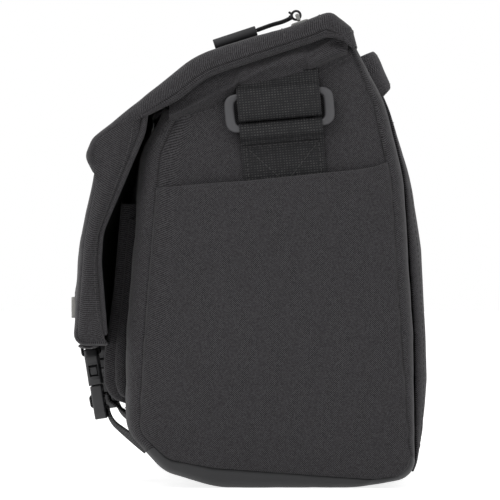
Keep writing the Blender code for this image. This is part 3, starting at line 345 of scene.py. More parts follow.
def moulded_plastic(name, base, rough, grain_depth=0.05 * MM):
    """Moulded plastic with a fine spark-eroded grain, paler in soft random patches of wear."""
    board = Finish(name, Specular_IOR_Level=0.5)
    fine = board.grain(2600, 2)
    worn = board.grain(90, 5, 0.65)
    board.set("Base Color", board.blend(worn * 0.7 + fine * 0.3, shaded(base, 0.8), shaded(base, 1.25)))
    board.set("Roughness", rough + worn * 0.14)
    board.set("Normal", board.bump(fine * 0.8 + worn * 0.2, grain_depth, 0.7))
    return board.material


def plated_metal():
    """Plated zip metal with fine scratches."""
    board = Finish("slider_metal", Metallic=1.0)
    scratches = board.grain(900, 6, 0.7)
    base = finishes().metal
    board.set("Base Color", board.blend(scratches, shaded(base, 0.6), shaded(base, 1.2)))
    board.set("Roughness", 0.24 + scratches * 0.2)
    board.set("Normal", board.bump(scratches, 0.02 * MM, 0.5))
    return board.material


def rubber():
    """Matt rubber of the zip pull."""
    board = Finish("pull_rubber", Specular_IOR_Level=0.4)
    fine = board.grain(1400, 4)
    base = finishes().rubber
    board.set("Base Color", board.blend(fine, shaded(base, 0.8), shaded(base, 1.3)))
    board.set("Roughness", 0.55 + fine * 0.2)
    board.set("Normal", board.bump(fine, 0.06 * MM, 0.6))
    return board.material


def braided(name, base, pitch):
    """Braided cord: two sets of strands that cross at a slant."""
    board = Finish(name, Specular_IOR_Level=0.3, Sheen_Weight=0.1)
    across, along = board.cloth_map()
    left = ((across + along) / pitch).hump()
    right = ((across - along) / pitch).hump()
    strands = left.math("MAXIMUM", right)
    # Painted shade: the strands' crests lighter, the gaps between them darker.
    board.set("Base Color", board.blend(strands, shaded(base, 0.5), shaded(base, 2.2)))
    board.set("Roughness", 0.8 - strands * 0.15)
    board.set("Normal", board.bump(strands, 0.15 * MM, 0.8))
    return board.material


def sewing_thread(name, base):
    """Twisted thread with fibres of slightly different shades."""
    board = Finish(name, Specular_IOR_Level=0.4, Sheen_Weight=0.2)
    fibre = board.grain(3000, 2)
    board.set("Base Color", board.blend(fibre, shaded(base, 0.6), shaded(base, 1.5)))
    board.set("Roughness", 0.6 + fibre * 0.2)
    return board.material


def label_tape():
    """Bare satin tape: a close fine weave."""
    board = Finish("label_tape", Specular_IOR_Level=0.35, Sheen_Weight=0.15)
    height, tone = weave_of(board, 0.3 * MM)
    base = finishes().label
    # Painted shade: the raised threads lighter, the hollows between them darker; the crossings' tone is the
    # tape's own.
    board.set("Base Color", board.blend(height * 0.6 + tone * 0.4, shaded(base, 0.7), shaded(base, 1.2)))
    board.set("Roughness", 0.75 - height * 0.1)
    board.set("Normal", board.bump(height, 0.06 * MM, 0.6))
    return board.material


# The materials made so far, by name.
FINISHES = {}


def finish(name):
    """The named material, made when it is first asked for."""
    s, tones = sizes(), finishes()
    makers = {
        "shell": lambda: woven_cloth("shell_cloth", tones.shell, s.weave_pitch),
        # The handle's cloth is the shell cloth painted 1.2 times lighter: painted light on the handle.
        "handle": lambda: woven_cloth("lit_handle_cloth", shaded(tones.shell, 1.2), s.weave_pitch),
        "lining": lambda: woven_cloth("lining_cloth", tones.lining, s.weave_pitch * 0.6, 0.06 * MM, 0.6),
        # The lid piping is a real cord; its tape is the shell cloth painted a little darker, as painted shade
        # for the dark seam line along the lid's lips.
        "binding": lambda: woven_cloth("shaded_binding_tape", shaded(tones.shell, 0.9), 0.45 * MM, 0.12 * MM),
        "coated": coated_cloth,
        "webbing": lambda: strap_webbing("strap_webbing", s.webbing, s.strap_ribs),
        "narrow": lambda: strap_webbing("narrow_webbing", s.narrow_webbing, NARROW_RIBS),
        "plastic": lambda: moulded_plastic("buckle_plastic", tones.plastic, 0.36),
        "ring": lambda: moulded_plastic("ring_plastic", tones.ring, 0.42),
        "board": lambda: moulded_plastic("stiffener_board", tones.board, 0.5),
        "metal": plated_metal,
        "rubber": rubber,
        "cord": lambda: braided("pull_cord_braid", tones.cord, 0.9 * MM),
        "thread": lambda: sewing_thread("sewing_thread", tones.thread),
        "bartack": lambda: sewing_thread("bartack_thread", tones.bartack),
        "label": label_tape,
    }
    if name not in FINISHES:
        FINISHES[name] = makers[name]()
    return FINISHES[name]


# ---------------------------------------------------------------- soft steps and paths
def ramp(value, start, length):
    """0 up to start, 1 past start + length, and straight between."""
    return np.clip((value - start) / length, 0, 1)


def swell(value, centre, wide):
    """A soft hump, 1 at its centre."""
    return np.exp(-(((value - centre) / wide) ** 2))


def fading(distance, reach):
    """1 at a seam, less and less away from it."""
    return np.exp(-distance / reach)


def eased(share):
    """A share from 0 to 1 with soft ends."""
    return share * share * (3 - 2 * share)


def squared(wave, power):
    """A wave from -1 to 1 with flatter crests, for sections with rounded corners."""
    return np.sign(wave) * np.abs(wave) ** power


def whole_turn(count):
    """Angles evenly round a circle."""
    return np.linspace(0, 2 * math.pi, count, endpoint=False)


def unit(vectors):
    """The rows of vectors at length 1."""
    return vectors / np.linalg.norm(vectors, axis=1)[:, None]


def heading(path):
    """The path's unit direction at each of its points."""
    return unit(np.gradient(path, axis=0))


def leftward(path):
    """The unit direction to the left of a flat path at each of its points."""
    way = heading(path)
    return np.stack([-way[:, 1], way[:, 0]], axis=1)


def evened(rows, reach):
    """Each row as the mean of its neighbours up to reach rows away."""
    window = np.ones(2 * reach + 1) / (2 * reach + 1)
    columns = [np.convolve(np.pad(column, reach, "edge"), window, "valid") for column in rows.T]
    return np.stack(columns, axis=1)


def fillet_path(corners, steps=10):
    """Points along an open path of (a, b, radius) corners; the first and last are plain ends."""
    points = [Vector(corners[0][:2])]
    for before, here, after in zip(corners, corners[1:], corners[2:]):
        corner, radius = Vector(here[:2]), here[2]
        back = (Vector(before[:2]) - corner).normalized()
        ahead = (Vector(after[:2]) - corner).normalized()
        half_turn = back.angle(ahead) / 2
        reach = radius / math.tan(half_turn)
        centre = corner + (back + ahead).normalized() * (radius / math.sin(half_turn))
        first, last = corner + back * reach - centre, corner + ahead * reach - centre
        swing = last.angle_signed(first)
        for step in range(steps + 1):
            points.append(centre + Matrix.Rotation(swing * step / steps, 2) @ first)
    points.append(Vector(corners[-1][:2]))
    return np.array([tuple(p) for p in points])


def lengths(path):
    """Distance along a path at each of its points."""
    return np.concatenate([[0], np.cumsum(np.linalg.norm(np.diff(path, axis=0), axis=1))])


def resampled(path, spacing=None, count=None):
    """The path as points at even distances."""
    path = np.asarray(path, float)
    far = lengths(path)
    count = count or max(int(round(far[-1] / spacing)) + 1, 2)
    places = np.linspace(0, far[-1], count)
    return np.stack([np.interp(places, far, path[:, axis]) for axis in range(path.shape[1])], axis=1)


def paired(first, second, spacing):
    """Two paths with like points, both with their long stretches divided alike."""
    out_a, out_b = [first[0]], [second[0]]
    for a0, a1, b0, b1 in zip(first, first[1:], second, second[1:]):
        pieces = max(1, math.ceil(max(np.linalg.norm(a1 - a0), np.linalg.norm(b1 - b0)) / spacing))
        for k in range(1, pieces + 1):
            out_a.append(a0 + (a1 - a0) * k / pieces)
            out_b.append(b0 + (b1 - b0) * k / pieces)
    return np.array(out_a), np.array(out_b)


def sideways(path, distance):
    """The flat path moved to its left by distance."""
    return path + leftward(path) * distance


def mm(*corners):
    """Corners in millimetres as metres."""
    return [tuple(value * MM for value in corner) for corner in corners]


# The bag's section at its end seams and at its full crown, from the front panel's top under the base
# to the back panel's top, as (y, z, corner radius).
SEAM_CORNERS = mm(
    (-60, 226, 0), (-71, 202, 30), (-80, 90.4, 150), (-83, 34, 16), (-65, 17, 16), (-38, 12, 40),
    (58, 5, 40), (82.5, 8, 13), (76, 93.1, 120), (70, 186.2, 120), (60, 232, 60), (46, 266, 0),
)
FULL_CORNERS = mm(
    (-67, 229, 0), (-81, 202, 30), (-90, 90.4, 150), (-90, 34, 20), (-68, 10, 24), (-36, 0, 60),
    (48, 0, 80), (84, 6, 13), (83, 93.1, 120), (77, 186.2, 120), (66, 232, 60), (48, 266, 0),
)
LID_CORNERS = mm(
    (48.5, 266.8, 0), (45.5, 277.4, 6), (32.5, 287, 8), (-48, 260.5, 60),
    (-110.5, 210.5, 10), (-115, 199.5, 8), (-110, 190, 0),
)
BACKING_CORNERS = mm((-79, 228, 0), (-81, 214, 20), (-106, 154, 30), (-107, 136, 30), (-103, 91, 0))
FLAP_FRONT_CORNERS = mm((-109.5, 188.5, 0), (-117.5, 148.5, 60), (-122, 86, 7), (-102, 86, 0))
FILLET_STEPS = 10
SEAM = fillet_path(SEAM_CORNERS, FILLET_STEPS)
FULL = fillet_path(FULL_CORNERS, FILLET_STEPS)
LID = fillet_path(LID_CORNERS, FILLET_STEPS)
BACKING = fillet_path(BACKING_CORNERS, FILLET_STEPS)
FLAP_FRONT = fillet_path(FLAP_FRONT_CORNERS, FILLET_STEPS)
# The base panel starts just past the section's third rounded corner, counted from the front panel's top,
# and ends with its seventh.
BASE_FRONT = 3 * (FILLET_STEPS + 1)
BASE_BACK = 7 * (FILLET_STEPS + 1)
BASE_SEAM = FULL[BASE_FRONT] * 0.45 + FULL[BASE_FRONT + 1] * 0.55
FLAP_HALF = 198 * MM


# ---------------------------------------------------------------- cloth surfaces
def facing(grid, inside=BAG_MIDDLE):
    """Unit normals of a grid of points, away from the inside point, and whether they needed turning."""
    found = np.cross(np.gradient(grid, axis=1), np.gradient(grid, axis=0))
    found /= np.maximum(np.linalg.norm(found, axis=2), 1e-12)[..., None]
    turned = np.sum(found * (grid - inside)) < 0
    return (-found if turned else found), turned


def cloth_map_of(grid):
    """Distances over the cloth at each grid point: across its rows and along its columns."""
    step_u = np.linalg.norm(np.diff(grid, axis=1), axis=2)
    step_v = np.linalg.norm(np.diff(grid, axis=0), axis=2)
    across = np.concatenate([np.zeros((grid.shape[0], 1)), np.cumsum(step_u, axis=1)], axis=1)
    along = np.concatenate([np.zeros((1, grid.shape[1])), np.cumsum(step_v, axis=0)], axis=0)
    return across - across[:, [across.shape[1] // 2]], along


def ripple(across, along, wide, high, seed):
    """Smooth waves from about -1 to 1, of the given sizes."""
    spots = zip((across / wide).ravel(), (along / high).ravel())
    return np.array([noise.noise((a, b, seed)) for a, b in spots]).reshape(across.shape) * 1.6


def crease(across, along, wide, high, seed):
    """Folds: narrow ridges from 0 to 1 between broad hollows."""
    return np.clip(1 - np.abs(ripple(across, along, wide, high, seed)) * 2.2, 0, 1) ** 2


def pushed(grid, amount, inside=BAG_MIDDLE):
    """The grid moved outwards by the amount at each point."""
    normals, _ = facing(grid, inside)
    return grid + normals * amount[..., None]


def puckers(run, distance, depth, pitch, seed, reach=7 * MM):
    """Small gathers beside a seam: run is the way along it, distance the way from it."""
    waves = ripple(run, run * 0 + seed * 3.1, pitch, 1, seed)
    return waves * depth * np.exp(-np.abs(distance) / reach)


def add_mesh(name, points, faces, look, mapping=None):
    """A new piece of the scene from points and faces, with its finish and its cloth map."""
    data = bpy.data.meshes.new(name)
    data.from_pydata([tuple(p) for p in points], [], [tuple(int(i) for i in face) for face in faces])
    if mapping is not None:
        layer = data.uv_layers.new(name=CLOTH_MAP)
        corners = np.empty(len(data.loops), int)
        data.loops.foreach_get("vertex_index", corners)
        layer.uv.foreach_set("vector", np.asarray(mapping, np.float32)[corners].ravel())
    data.materials.append(finish(look))
    data.shade_smooth()
    piece = bpy.data.objects.new(name, data)
    bpy.context.scene.collection.objects.link(piece)
    return piece


def quads(index, closed=False, turned=False):
    """Faces between the rows of a grid of vertex numbers; closed joins the last column to the first."""
    if closed:
        index = np.concatenate([index, index[:, :1]], axis=1)
    corners = (index[:-1, :-1], index[1:, :-1], index[1:, 1:], index[:-1, 1:])
    faces = np.stack(corners, axis=-1).reshape(-1, 4)
    return faces if turned else faces[:, ::-1]


def rim_of(index):
    """The numbers round a grid's edge, in order."""
    return np.concatenate([index[0, :-1], index[:-1, -1], index[-1, :0:-1], index[:0:-1, 0]])


# How far a cloth's rounded edge stands out, as a share of its thickness.
EDGE_ROUND = 0.35


def cloth(name, grid, thick, look, inside=BAG_MIDDLE):
    """A closed piece of cloth whose outer face is the grid, with a rounded edge all round."""
    normals, turned = facing(grid, inside)
    rows, columns = grid.shape[:2]
    number = np.arange(rows * columns).reshape(rows, columns)
    outer = grid.reshape(-1, 3)
    inner = outer - normals.reshape(-1, 3) * thick
    rim = rim_of(number)
    outwards = np.zeros((rows, columns, 3))
    outwards[1:-1, 0] = (grid[:, 0] - grid[:, 1])[1:-1]
    outwards[1:-1, -1] = (grid[:, -1] - grid[:, -2])[1:-1]
    outwards[0] = grid[0] - grid[1]
    outwards[-1] = grid[-1] - grid[-2]
    away = outwards.reshape(-1, 3)[rim]
    away /= np.maximum(np.linalg.norm(away, axis=1), 1e-12)[:, None]
    edge = (outer[rim] + inner[rim]) / 2 + away * thick * EDGE_ROUND
    points = np.concatenate([outer, inner, edge])
    low = number + rows * columns
    middle = np.arange(len(rim)) + 2 * rows * columns
    strips = [
        quads(np.stack([rim, middle]), True, not turned),
        quads(np.stack([middle, low.ravel()[rim]]), True, not turned),
    ]
    faces = np.concatenate([quads(number, turned=turned), quads(low, turned=not turned), *strips])
    across, along = cloth_map_of(grid)
    flat_map = np.stack([across.ravel(), along.ravel()], axis=1)
    mapping = np.concatenate([flat_map, flat_map, flat_map[rim]])
    return add_mesh(name, points, faces, look, mapping)


def crown_columns(half, round_length, fine, coarse):
    """X stations across the bag and each one's share of the crown, close together near the end seams."""
    turn = np.linspace(0, math.pi / 2, max(int(round_length / fine), 4))
    edge = half - round_length + np.sin(turn) * round_length
    middle = np.linspace(-(half - round_length), half - round_length, int(2 * half / coarse))
    x = np.concatenate([-edge[::-1], middle[1:-1], edge])
    into_edge = ramp(np.abs(x), half - round_length, round_length)
    return x, np.sqrt(np.maximum(1 - into_edge**2, 0))


def across_bag(x, section):
    """A (y, z) path, or a grid of them, stood at each of the X stations as a grid of points."""
    section = section[:, None] if section.ndim == 2 else section
    shape = (len(section), len(x))
    stations = np.broadcast_to(x[None, :, None], (*shape, 1))
    return np.concatenate([stations, np.broadcast_to(section, (*shape, 2))], axis=2)


def wall_grid(seam, full, half, round_length, fine=1.6 * MM, coarse=4 * MM):
    """A wall panel's outer face, from its end seams to its full section."""
    x, share = crown_columns(half, round_length, fine, coarse)
    return across_bag(x, seam[:, None, :] + (full - seam)[:, None, :] * share[None, :, None])


def coons(bottom, top, left, right):
    """A flat grid between four edge paths: bottom and top run across, left and right run upwards."""
    u = np.linspace(0, 1, len(bottom))[None, :, None]
    v = np.linspace(0, 1, len(left))[:, None, None]
    ruled = (1 - v) * bottom[None] + v * top[None] + (1 - u) * left[:, None] + u * right[:, None]
    corners = (1 - u) * (1 - v) * bottom[0] + u * (1 - v) * bottom[-1]
    corners = corners + (1 - u) * v * top[0] + u * v * top[-1]
    return ruled - corners


def stood(flat, x):
    """A flat (y, z) grid stood up at X, which may be a number or a grid."""
    depth = np.broadcast_to(np.asarray(x, float), flat.shape[:2])
    return np.concatenate([depth[..., None], flat], axis=2)


# ---------------------------------------------------------------- straps, tubes and stitches
def capped(number):
    """Faces of a closed tube through rows of vertex numbers, with a cap at each end."""
    return [tuple(face) for face in quads(number, True)] + [tuple(number[0]), tuple(number[-1][::-1])]


def add_swept(name, points, across, along, look):
    """A capped tube through rings of points, with its cloth map."""
    number = np.arange(points.shape[0] * points.shape[1]).reshape(points.shape[:2])
    spread = [np.broadcast_to(values, number.shape).ravel() for values in (across, along)]
    return add_mesh(name, points.reshape(-1, 3), capped(number), look, np.stack(spread, axis=1))


def ribbon(
    name, path, wide_way, width, thick, look, ribs=0, spacing=1.4 * MM, relief=0.12 * MM, twist=0, loose=0.3
):
    """A strap along a path, its width along wide_way, with rounded edges and raised ribs.

    twist turns its first end by an angle that fades over the loose share of its length.
    """
    path = resampled(path, spacing)
    way = np.gradient(path, axis=0)
    flat_wide = np.asarray(wide_way, float)
    turn = (twist * eased(np.clip(1 - np.linspace(0, 1, len(path)) / loose, 0, 1)))[:, None]
    wide = flat_wide * np.cos(turn) + unit(np.cross(way, flat_wide)) * np.sin(turn)
    up = unit(np.cross(way, wide))
    flat_half = width / 2 - thick * 0.3
    a = np.linspace(-flat_half, flat_half, max(ribs * 4, 12) + 1)
    raised = np.full(len(a), thick / 2)
    if ribs:
        raised = thick / 2 - relief + relief * np.abs(np.cos(math.pi * ribs * (a / width + 0.5)))
    side_a = np.concatenate([a, [width / 2], a[::-1], [-width / 2]])
    side_h = np.concatenate([raised, [0], -raised[::-1], [0]])
    points = path[:, None] + wide[:, None] * side_a[None, :, None] + up[:, None] * side_h[None, :, None]
    return add_swept(name, points, side_a[None, :] + width / 2, lengths(path)[:, None], look)


def shoulder_webbing(name, line, wide_way, spacing=1.4 * MM):
    """Wide webbing along a line."""
    s = sizes()
    return ribbon(name, line, wide_way, s.webbing, s.webbing_thick, "webbing", s.strap_ribs, spacing)


def flap_webbing(name, line, thick, **curl):
    """Narrow webbing along a line, its width along the bag."""
    width = sizes().narrow_webbing
    return ribbon(name, line, (1, 0, 0), width, thick, "narrow", NARROW_RIBS, 0.9 * MM, **curl)


def frames_along(path):
    """Two unit directions square to the path at each point, turning as little as they can."""
    way = heading(path)
    side = np.cross(way[0], (0, 0, 1) if abs(way[0][2]) < 0.9 else (1, 0, 0))
    sides = []
    for direction in way:
        side = side - direction * np.dot(side, direction)
        side /= np.linalg.norm(side)
        sides.append(side)
    sides = np.array(sides)
    return sides, np.cross(way, sides)


def rings_round(side, up, around, flatten=1.0):
    """Directions all round a cord at each of its points."""
    turn = whole_turn(around)
    return np.cos(turn)[None, :, None] * side[:, None] + np.sin(turn)[None, :, None] * up[:, None] * flatten


# Radius of a cord's tips, as a share of the cord's.
TIP = 0.55


def tube(name, path, radius, look, around=12, flatten=1.0):
    """A round cord along a path; its ends are rounded in."""
    path = np.asarray(path, float)
    side, up = frames_along(path)
    radii = np.broadcast_to(np.asarray(radius, float), (len(path),)).copy()
    radii[[0, -1]] *= TIP
    points = path[:, None] + rings_round(side, up, around, flatten) * radii[:, None, None]
    across = whole_turn(around)[None, :] * np.max(radii)
    return add_swept(name, points, across, lengths(path)[:, None], look)


def stitch_points(line, up, thread, length, gap):
    """The rings of each stitch along a line: they dive into the cloth at both ends."""
    far = lengths(line)
    shape_at = np.array([0, 0.12, 0.5, 0.88, 1])
    rise = np.array([-0.7, 0.5, 0.8, 0.5, -0.7]) * thread
    girth = np.array([0.5, 0.95, 1.0, 0.95, 0.5]) * thread
    rings, start = [], gap / 2
    while start + length < far[-1]:
        places = start + shape_at * length
        spine = np.stack([np.interp(places, far, line[:, k]) for k in range(3)], axis=1)
        lift = unit(np.stack([np.interp(places, far, up[:, k]) for k in range(3)], axis=1))
        way = (spine[-1] - spine[0]) / max(np.linalg.norm(spine[-1] - spine[0]), 1e-9)
        ring = rings_round(np.cross(way, lift), lift, 6)
        rings.append(spine[:, None] + lift[:, None] * rise[:, None, None] + ring * girth[:, None, None])
        start += length + gap
    return rings


def stitching(name, lines, body, look="thread", length=None, gap=None, thread=None):
    """Rows of stitches, each along a (points, outward directions) line, as one piece."""
    s = sizes()
    measures = (thread or s.thread, length or s.stitch, gap or s.stitch_gap)
    points, faces, base = [], [], 0
    for line, up in lines:
        for rings in stitch_points(np.asarray(line), np.asarray(up), *measures):
            number = np.arange(rings.shape[0] * rings.shape[1]).reshape(rings.shape[:2]) + base
            faces += capped(number)
            points.append(rings.reshape(-1, 3))
            base += number.size
    piece = add_mesh(name, np.concatenate(points), faces, look)
    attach(piece, body)
    return piece


def grid_line(grid, row=None, column=None, inside=BAG_MIDDLE, start=0, stop=None):
    """A (points, outward directions) line along a row or a column of a cloth's grid."""
    normals, _ = facing(grid, inside)
    pick = (row, slice(start, stop)) if row is not None else (slice(start, stop), column)
    return grid[pick], normals[pick]


def dressed(piece, body, *nodes, slot=None):
    """Puts a piece on its body, in place of the plain solids that it dresses."""
    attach(piece, body)
    if nodes:
        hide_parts(*nodes)
    return piece


def smoothed(node, look, bevel=0.3 * MM):
    """Gives a moulded solid its finish and rounds its sharp edges."""
    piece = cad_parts[node]
    piece.data.materials.clear()
    piece.data.materials.append(finish(look))
    weld = piece.modifiers.new("weld", "WELD")
    weld.merge_threshold = 0.01 * MM
    round_off = piece.modifiers.new("round_off", "BEVEL")
    round_off.width = bevel
    round_off.segments = 2
    round_off.limit_method = "ANGLE"
    round_off.angle_limit = math.radians(25)
    round_off.harden_normals = True
    return piece


def bulge_at(x, centre, wide=75):
    """A soft swelling across the bag, 1 at its centre."""
    return swell(x / MM, centre, wide)


def profile(z, table):
    """A length at each height, from a (height, length) table in millimetres."""
    heights, values = zip(*table)
    return np.interp(z / MM, heights, values) * MM


# How far soft walls stand out, as (height, distance) in millimetres.
FRONT_BULGE = ((160, 0), (170, 6.5), (178, 7), (185, 5.5), (200, 4.5), (214, 2.5), (226, 0.8))
BACKING_SAG = (
    (91, 0.5), (100, 2.2), (120, 6.6), (150, 10), (168, 5.4),
    (174, 7), (180, 8.6), (190, 7.2), (200, 4), (214, 1.2),
)
BACK_POCKET_ROOM = ((9, 0), (20, 1.8), (34, 4.4), (65, 6.8), (143, 6.8), (190, 3), (238, 0))
ORGANISER_DEPTH = (
    (52.5, 0), (54, 6), (57, 9.8), (63, 13), (76, 13.2),
    (86, 12), (100, 10.2), (120, 9), (170, 8.6), (180, 8.2),
)


# ---------------------------------------------------------------- the pieces
def make_walls():
    """Front, base and back panels, lofted between the end seams, with soft dents and puckered seams."""
    s = sizes()
    seam, full = paired(SEAM, FULL, 3.2 * MM)
    marks = [int(np.argmin(np.linalg.norm(full - spot, axis=1))) for spot in (BASE_SEAM, FULL[BASE_BACK])]
    spans = (
        ("front_wall", 0, marks[0], "shell", 2.0, "front_panel", "shell_fabric"),
        ("base_wall", marks[0], marks[1], "coated", 0.5, "base_panel", "coated_base_fabric"),
        ("back_wall", marks[1], len(full) - 1, "shell", 1.2, "back_panel", "shell_fabric"),
    )
    for name, first, last, look, softness, node, slot in spans:
        grid = wall_grid(seam[first : last + 1], full[first : last + 1], s.half_width, s.edge_round)
        across, along = cloth_map_of(grid)
        from_end = s.half_width - np.abs(grid[..., 0])
        free = ramp(from_end, 0, 40 * MM)
        dents = ripple(across, along, 70 * MM, 55 * MM, 3.3 + softness) * 0.8 * MM * softness * free
        folds = crease(across, along, 90 * MM, 30 * MM, 8.1 + softness) * 0.7 * MM * softness * free
        gathers = puckers(along, from_end, 0.5 * MM, 8 * MM, 2.2) - 0.9 * MM * fading(from_end, 2.5 * MM)
        if name == "front_wall":
            tame = 1 - 0.7 * ramp(grid[..., 2], 150 * MM, 20 * MM)
            dents, folds = dents * tame, folds * tame
            dents = dents + bulge_at(grid[..., 0], 60) * profile(grid[..., 2], FRONT_BULGE)
        grid = pushed(grid, dents - folds + gathers)
        dressed(cloth(name, grid, s.panel, look), "bag", node, slot=slot)


def end_edges(inset, hem_line, count_across, count_up):
    """Bottom, top, left and right edges of a piece sewn into the end seam under a hem line."""
    edge = sideways(resampled(SEAM, 1.5 * MM), inset)
    low_front = int(np.argmin(np.abs(edge[:, 0] + 75 * MM) + np.abs(edge[:, 1] - 25 * MM)))
    low_back = int(np.argmin(np.abs(edge[:, 0] - 74 * MM) + np.abs(edge[:, 1] - 11 * MM)))
    left = edge[: low_front + 1][::-1]
    bottom = edge[low_front : low_back + 1]
    right = edge[low_back:]

    def up_to_hem(path):
        over = path[:, 1] - hem_line(path[:, 0])
        last = int(np.argmax(over > 0)) if (over > 0).any() else len(path) - 1
        path = path[: last + 1].copy()
        path[-1, 1] = hem_line(path[-1, 0])
        return resampled(path, count=count_up)

    left, right = up_to_hem(left), up_to_hem(right)
    bottom = resampled(bottom, count=count_across)
    y = np.linspace(left[-1, 0], right[-1, 0], count_across)
    return bottom, np.stack([y, hem_line(y)], axis=1), left, right


def end_sheet(inset, hem_line, count_across, count_up):
    """The (y, z) grid of a cloth sewn into the end seam, and its shares across and up."""
    flat = coons(*end_edges(inset, hem_line, count_across, count_up))
    return flat, np.linspace(0, 1, flat.shape[1])[None, :], np.linspace(0, 1, flat.shape[0])[:, None]


def panel_hem(y):
    """Height of the end panel's slanted top hem."""
    stops_y = np.array([-62, -31, 22, 47]) * MM
    stops_z = np.array([224, 233.5, 252, 267]) * MM
    return np.interp(y, stops_y, stops_z)


def pocket_hem(y):
    """Height of the side pocket's hem: a straight slant that rises a little faster at the back."""
    stops_y = np.array([-76, -45, -18.6, 32.4, 48, 59.4, 68, 78]) * MM
    stops_z = np.array([179.6, 182.4, 184.2, 189.3, 190.8, 192.8, 196, 197]) * MM
    return np.interp(y, stops_y, stops_z)


# Rough depth of an end panel, and the middle of the strap ring on it.
END_DEPTH = 160 * MM
RING_Y = 3 * MM


def make_ends():
    """The end panels with their folded top hems and a row of hem stitches."""
    s = sizes()
    for side, end in ENDS:
        flat, u, v = end_sheet(1.2 * MM, panel_hem, 90, 110)
        dome = np.sin(math.pi * u) ** 0.5 * np.clip(np.sin(math.pi * np.clip(v, 0, 0.97)), 0, 1) ** 0.4
        grid = stood(flat, side * (s.half_width - 0.6 * MM))
        across, along = cloth_map_of(grid)
        away = np.minimum(u, 1 - u) * END_DEPTH
        relief = dome * 0.9 * MM + ripple(across, along, 60 * MM, 50 * MM, 1.7 + side) * 0.5 * MM * dome
        relief += puckers(along, away, 0.45 * MM, 9 * MM, 4.4 + side) - 1.7 * MM * fading(away, 2.4 * MM)
        relief -= swell(flat[..., 0], RING_Y, 30 * MM) * ramp(flat[..., 1], 150 * MM, 20 * MM) * 0.8 * MM
        grid[..., 0] += side * relief
        piece = cloth(f"end_cloth_{end}", grid, 2 * MM, "shell")
        dressed(piece, "bag", f"end_panel_{end}", slot="shell_fabric")
        line, up = grid_line(grid, row=-3)
        stitching(f"end_hem_stitches_{end}", [(line, up)], "bag")


# Where the collar folds over the strap, as (y, height) in millimetres.
STRAP_FOLD = ((-30, 239.5), (-27, 240), (17, 251.5), (21, 253))


def make_collars():
    """Soft ears between the hem and the lid, drawn over the strap where it goes in."""
    for side, end in ENDS:
        y = np.linspace(-64 * MM, 43 * MM, 116)
        strap = eased(ramp(y, -27 * MM, 7 * MM) * np.clip((21 * MM - y) / (6 * MM), 0, 1))
        over_hem = panel_hem(y) - 7 * MM
        fold_line = profile(y, STRAP_FOLD)
        low = over_hem * (1 - strap) + fold_line * strap
        high = np.interp(-y, -LID[:, 0], LID[:, 1]) - 7.5 * MM
        v = np.linspace(0, 1, 44)[:, None]
        z = low + (high - low) * v
        inner_x = 186.0 * MM - ramp(y, 19 * MM, 6 * MM)[None, :] * 5 * MM
        over_x = 193.6 * MM
        outside = strap[None, :] * np.ones_like(v)
        tuck = inner_x + (over_x - 1.2 * MM - inner_x) * eased(np.clip(v * 2.6, 0, 1))
        x = tuck * (1 - outside) + over_x * outside
        flat_y = np.broadcast_to(y[None, :], z.shape)
        slant = flat_y * 0.95 + z * 0.32
        fall = z - panel_hem(flat_y)
        waves = ripple(slant, fall, 44 * MM, 13 * MM, 5.5 + side) * 2.6 * MM
        drawn = crease(slant, fall, 75 * MM, 15 * MM, 2.8 + side) * 2.6 * MM
        slump = swell(z - low, 8 * MM, 5 * MM) * 2.2 * MM
        valley = swell(high - z, 8 * MM, 4 * MM) * 2.5 * MM
        belly = np.sin(math.pi * np.clip(v, 0.04, 0.96)) ** 0.6 * (1 - 0.35 * outside)
        x = x + (waves + drawn + slump - valley) * belly
        grid = np.stack([side * x, flat_y, z], axis=2)
        roll = 1.1 * MM
        rolled = []
        for angle in np.linspace(0, math.pi, 6)[:0:-1]:
            step = np.array((side * (1 - math.cos(angle)) * roll, 0, math.sin(angle) * roll))
            rolled.append(grid[0] - step)
        grid = np.concatenate([np.array(rolled), grid])
        inside = np.array((side * 0.1, 0, 0.24))
        piece = cloth(f"collar_cloth_{end}", grid, 0.8 * MM, "shell", inside)
        dressed(piece, "bag", f"end_collar_{end}", slot="lining_fabric")
        hems = [grid_line(grid, row=8, inside=inside, start=a, stop=b) for a, b in ((3, 36), (96, 112))]
        stitching(f"collar_stitches_{end}", hems, "bag")


def make_side_pockets():
    """Patch pockets that bulge off the end panels, with a folded hem at the mouth."""
    s = sizes()
    for side, end in ENDS:
        flat, u, v = end_sheet(0.5 * MM, pocket_hem, 100, 110)
        belly = np.sin(math.pi * u) ** 0.7 * np.sin(math.pi / 2 * np.minimum(v * 2.5, 1)) ** 0.8
        grid = stood(flat, side * (s.half_width + 0.5 * MM))
        across, along = cloth_map_of(grid)
        away = np.minimum(u, 1 - u) * END_DEPTH
        relief = s.pocket_bulge * belly
        relief = relief + ripple(across, along, 55 * MM, 80 * MM, 6.1 + side) * 0.9 * MM * belly
        relief = relief + crease(across, along, 80 * MM, 45 * MM, 9.4 + side) * 0.6 * MM * belly
        relief = relief + puckers(along, away, 0.7 * MM, 9 * MM, 7.7 + side)
        relief = relief - 1.8 * MM * fading(away, 2.4 * MM)
        relief = relief + puckers(across, v * 180 * MM, 0.5 * MM, 10 * MM, 3.9 + side)
        grid[..., 0] += side * relief
        hem = [grid[-1], grid[-1], *grid[-2:-14:-1]]
        steps = [(-0.9, 0.7), (-1.9, -0.2)] + [(-2.0, -0.4)] * (len(hem) - 2)
        folded = [row + np.array((side * out * MM, 0, up * MM)) for row, (out, up) in zip(hem, steps)]
        whole = np.concatenate([grid, np.array(folded)])
        inside = np.array((side * 0.1, 0, 0.1))
        piece = thin_cloth(f"side_pocket_cloth_{end}", whole, 0.9 * MM, "shell", inside)
        dressed(piece, "bag", f"side_pocket_{end}", slot="shell_fabric")


